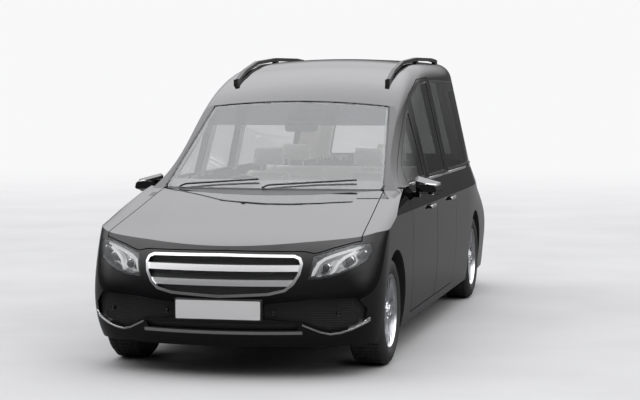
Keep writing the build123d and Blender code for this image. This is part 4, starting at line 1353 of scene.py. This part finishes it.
first = seat_cushion("seat_cushion_front_left", SEAT_X0, SEAT_X1, MIDDLES, 0, 0.011)
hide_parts("seats")
soft_twin(first)
soft_twin(seat_back("seat_back_front_left", SEAT_X0, SEAT_X1, MIDDLES, 0, 0.012, 0.70))
head_cushion("front", 0.3805, 0)
seat_cushion("bench_cushion", -BENCH_X, BENCH_X, BENCH_MIDDLES, BENCH_SHIFT, 0.016)
seat_back("bench_back", -BENCH_X, BENCH_X, BENCH_MIDDLES, BENCH_SHIFT, 0.017)
head_cushion("rear", 0.380, BENCH_SHIFT)
print("soft pieces: cushions, backs and head cushions for two seats and a bench")

# %% [markdown]
# Under the cushions stand a tray and two rails for each front seat, and a plain box for the bench,
# open over the tunnel as the frame's is.

# %% Seat bases
for name, x, d, z, material, slot, round_off in (
        ("seat_tray_front_left", (0.170, 0.590), (2200, 2620), (0.440, 0.496), dash_skin, "dash", 0.012),
        ("seat_rail_0_left", (0.200, 0.240), (2240, 2600), (0.302, 0.445), coated_steel, "steel", 0.006),
        ("seat_rail_1_left", (0.520, 0.560), (2240, 2600), (0.302, 0.445), coated_steel, "steel", 0.006),
        ("bench_base_left", (0.120, 0.575), (3150, 3470), (0.302, 0.494), carpet, "dash", 0.010)):
    twin(slab(name, x, stations(*d), z, material, "body", slot, round_off))
print("seat bases:", 8)

# %% [markdown]
# The tail carries a blank plate under a bright grip, a slim lamp above the glass, reflectors and a
# bright strip. A ray from behind, cast at the panel, gives the place of its surface, so that each
# piece sits on the curved tail.

# %% Tail details
REAR_PLATE_Z = 0.790
REAR_SENSOR_Z = 0.470


def surface_at(node, x, z):
    """Distance along the car at which a straight ray from behind meets a node."""
    _, met, _, _ = nodes[node].ray_cast((x, 4.0, z), (0, -1, 0))
    return met.y


tail_face = surface_at("tailgate", 0, REAR_PLATE_Z)
for piece in plate("rear_plate", -tail_face - PLATE_GAP, REAR_PLATE_Z, "tailgate"):
    edit(piece)
    bpy.ops.transform.rotate(value=pi, orient_axis="Z", center_override=(0, 0, 0))
    close()
grip_face, lamp_face = surface_at("tailgate", 0, 0.895), surface_at("tailgate", 0, 1.815)
slab("tailgate_grip", (-0.290, 0.290), (grip_face - 0.030, grip_face + 0.014), (0.878, 0.902), chrome,
     "tailgate", "chrome", 0.006)
slab("high_brake_lamp", (-0.170, 0.170), (lamp_face - 0.012, lamp_face + 0.007), (1.806, 1.824), red_lens,
     "tailgate", "lamp", 0.003)
twin(strip_along("rear_reflector_left", [(0.520, 0.392), (0.700, 0.392)], 0.030, "rear_bumper", red_lens,
                 start=BEHIND))
for name, reach, z, wide, material, thick in (("rear_bumper_strip", 0.600, 0.300, 0.014, chrome, 0.008),
                                              ("rear_valance", 0.560, 0.246, 0.070, black_plastic, 0.006)):
    points = [(x, z) for x in (-reach, -0.2, 0.2, reach)]
    strip_along(name, points, wide, "rear_bumper", material, start=BEHIND, thick=thick)
for number, (x, aim) in enumerate(((0.280, -8), (0.640, -28))):
    y = surface_at("rear_bumper", x, REAR_SENSOR_Z) - 0.006
    twin(sensor(f"rear_sensor_{number}_left", x, y, REAR_SENSOR_Z, aim))
print("tail face at", round(tail_face, 3))

# %% [markdown]
# A tail lamp is not one red shape: light bars run across it behind the lens. Each bar is a strip
# cut from a copy of the lens by two cuts across, lifted a hair and given thickness.

# %% Tail lamp bars
red_bar = lens_plastic("red_light_bar", (0.60, 0.018, 0.014), (0.74, 0.030, 0.022), 0.2, 160.0)
clear_bar = lens_plastic("clear_light_bar", grey(0.72), grey(0.80), 0.2, 160.0)
LAMP_BANDS = ((0.786, 0.806, clear_bar, "reverse"), (0.842, 0.856, red_bar, "middle"),
              (0.898, 0.912, red_bar, "upper"))
for low, high, material, label in LAMP_BANDS:
    band = outer_face("tail_lamps", f"tail_lamp_bar_{label}", (0, 1, 0), 0.15)
    keep_between(low, high)
    lift(0.0008)
    modify(band, "SOLIDIFY", thickness=0.0014, offset=0.0)
    hand_over(band, material, "body", "lamp")
print("lamp bars:", len(LAMP_BANDS))

# %% [markdown]
# Every door has its inside: an armrest, a pocket, an insert, a strip of veneer, a release and a
# loudspeaker. One set is modelled for each left door, the rear one shorter, and mirrored. The
# loudspeaker is a disc whose face is inset into rings.

# %% Door insides
INNER_X = 0.803
DOOR_FITTINGS = (("armrest", 0.742, 0, 0, (0.705, 0.760), hide_dark, "leather", 0.014),
                 ("door_pocket", 0.768, 20, -40, (0.400, 0.520), dash_skin, "dash", 0.010),
                 ("door_insert", 0.792, -40, 0, (0.800, 0.960), hide, "leather", 0.008),
                 ("door_trim_strip", 0.786, -40, 0, (0.975, 0.990), veneer, "dash", 0.004))


def loudspeaker(name, d, z, body):
    ring = disc(name, 0.085, 0.014, (INNER_X - 0.006, station(d), z), vertices=40)
    pick(lambda face: face.normal.x < -0.9)
    inset(*[(0.005, -0.002), (0.006, 0), (0.005, 0.002), (0.006, 0)] * 3)
    close()
    return hand_over(ring, black_plastic, body, "trim_black")


for door, start, end in (("front", 1930, 2420), ("rear", 2700, 3200)):
    body = f"door_{door}_left"
    fittings = [slab(f"{label}_{door}_left", (x, INNER_X), stations(start + after, end + past), z, material,
                     body, slot, round_off)
                for label, x, after, past, z, material, slot, round_off in DOOR_FITTINGS]
    fittings.append(slab(f"door_release_{door}_left", (0.776, 0.790), stations(start + 10, start + 110),
                         (0.885, 0.905), chrome, body, "chrome", 0.004))
    fittings.append(loudspeaker(f"loudspeaker_{door}_left", start + 90, 0.610, body))
    for piece in fittings:
        twin(piece)
print("door fittings:", 24)

# %% [markdown]
# Smaller things seen from the seats and the sides: two pedals with their arms, the repeater strip on
# each mirror, and the fuel flap's shut line on the right.

# %% Small fittings
FLAP_SIZE = 0.150
FLAP = (-1.05, station(5060), 0.800)
PEDALS = (("brake", -0.420, -0.330, 0.400, 0.455), ("throttle", -0.270, -0.222, 0.350, 0.470))
REPEATER = [(0.930, 1.090), (0.990, 1.094), (1.044, 1.086)]

for label, x0, x1, z0, z1 in PEDALS:
    slab(f"pedal_{label}", (x0, x1), stations(1700, 1714), (z0, z1), *BLACK_TRIM, 0.004)
    slab(f"pedal_arm_{label}", (x0 + 0.018, x0 + 0.030), stations(1684, 1702), (z1 - 0.020, 0.640),
         coated_steel, "body", "steel", 0.002)
twin(strip_along("mirror_repeater_left", REPEATER, 0.007, "mirror_left", lamp_silver, "door_front_left",
                 thick=0.004))
begin()
bpy.ops.mesh.primitive_grid_add(x_subdivisions=6, y_subdivisions=6, size=FLAP_SIZE, location=FLAP,
                                rotation=(0, radians(90), 0))
flap = shape("fuel_flap_line")
pick(lambda vert: abs(vert.co.y - FLAP[1]) > 0.074 and abs(vert.co.z - FLAP[2]) > 0.074, "verts")
bpy.ops.mesh.bevel(offset=0.020, segments=3, affect="VERTICES")
close()
lay_on(flap, "side_frame_right", axis="x")
edit(flap)
rim_of(flap, 0.0035, 0.0003, 0.0006)
hand_over(flap, *BLACK_TRIM)
print("small fittings placed")

# %% [markdown]

# %% Finish
import json
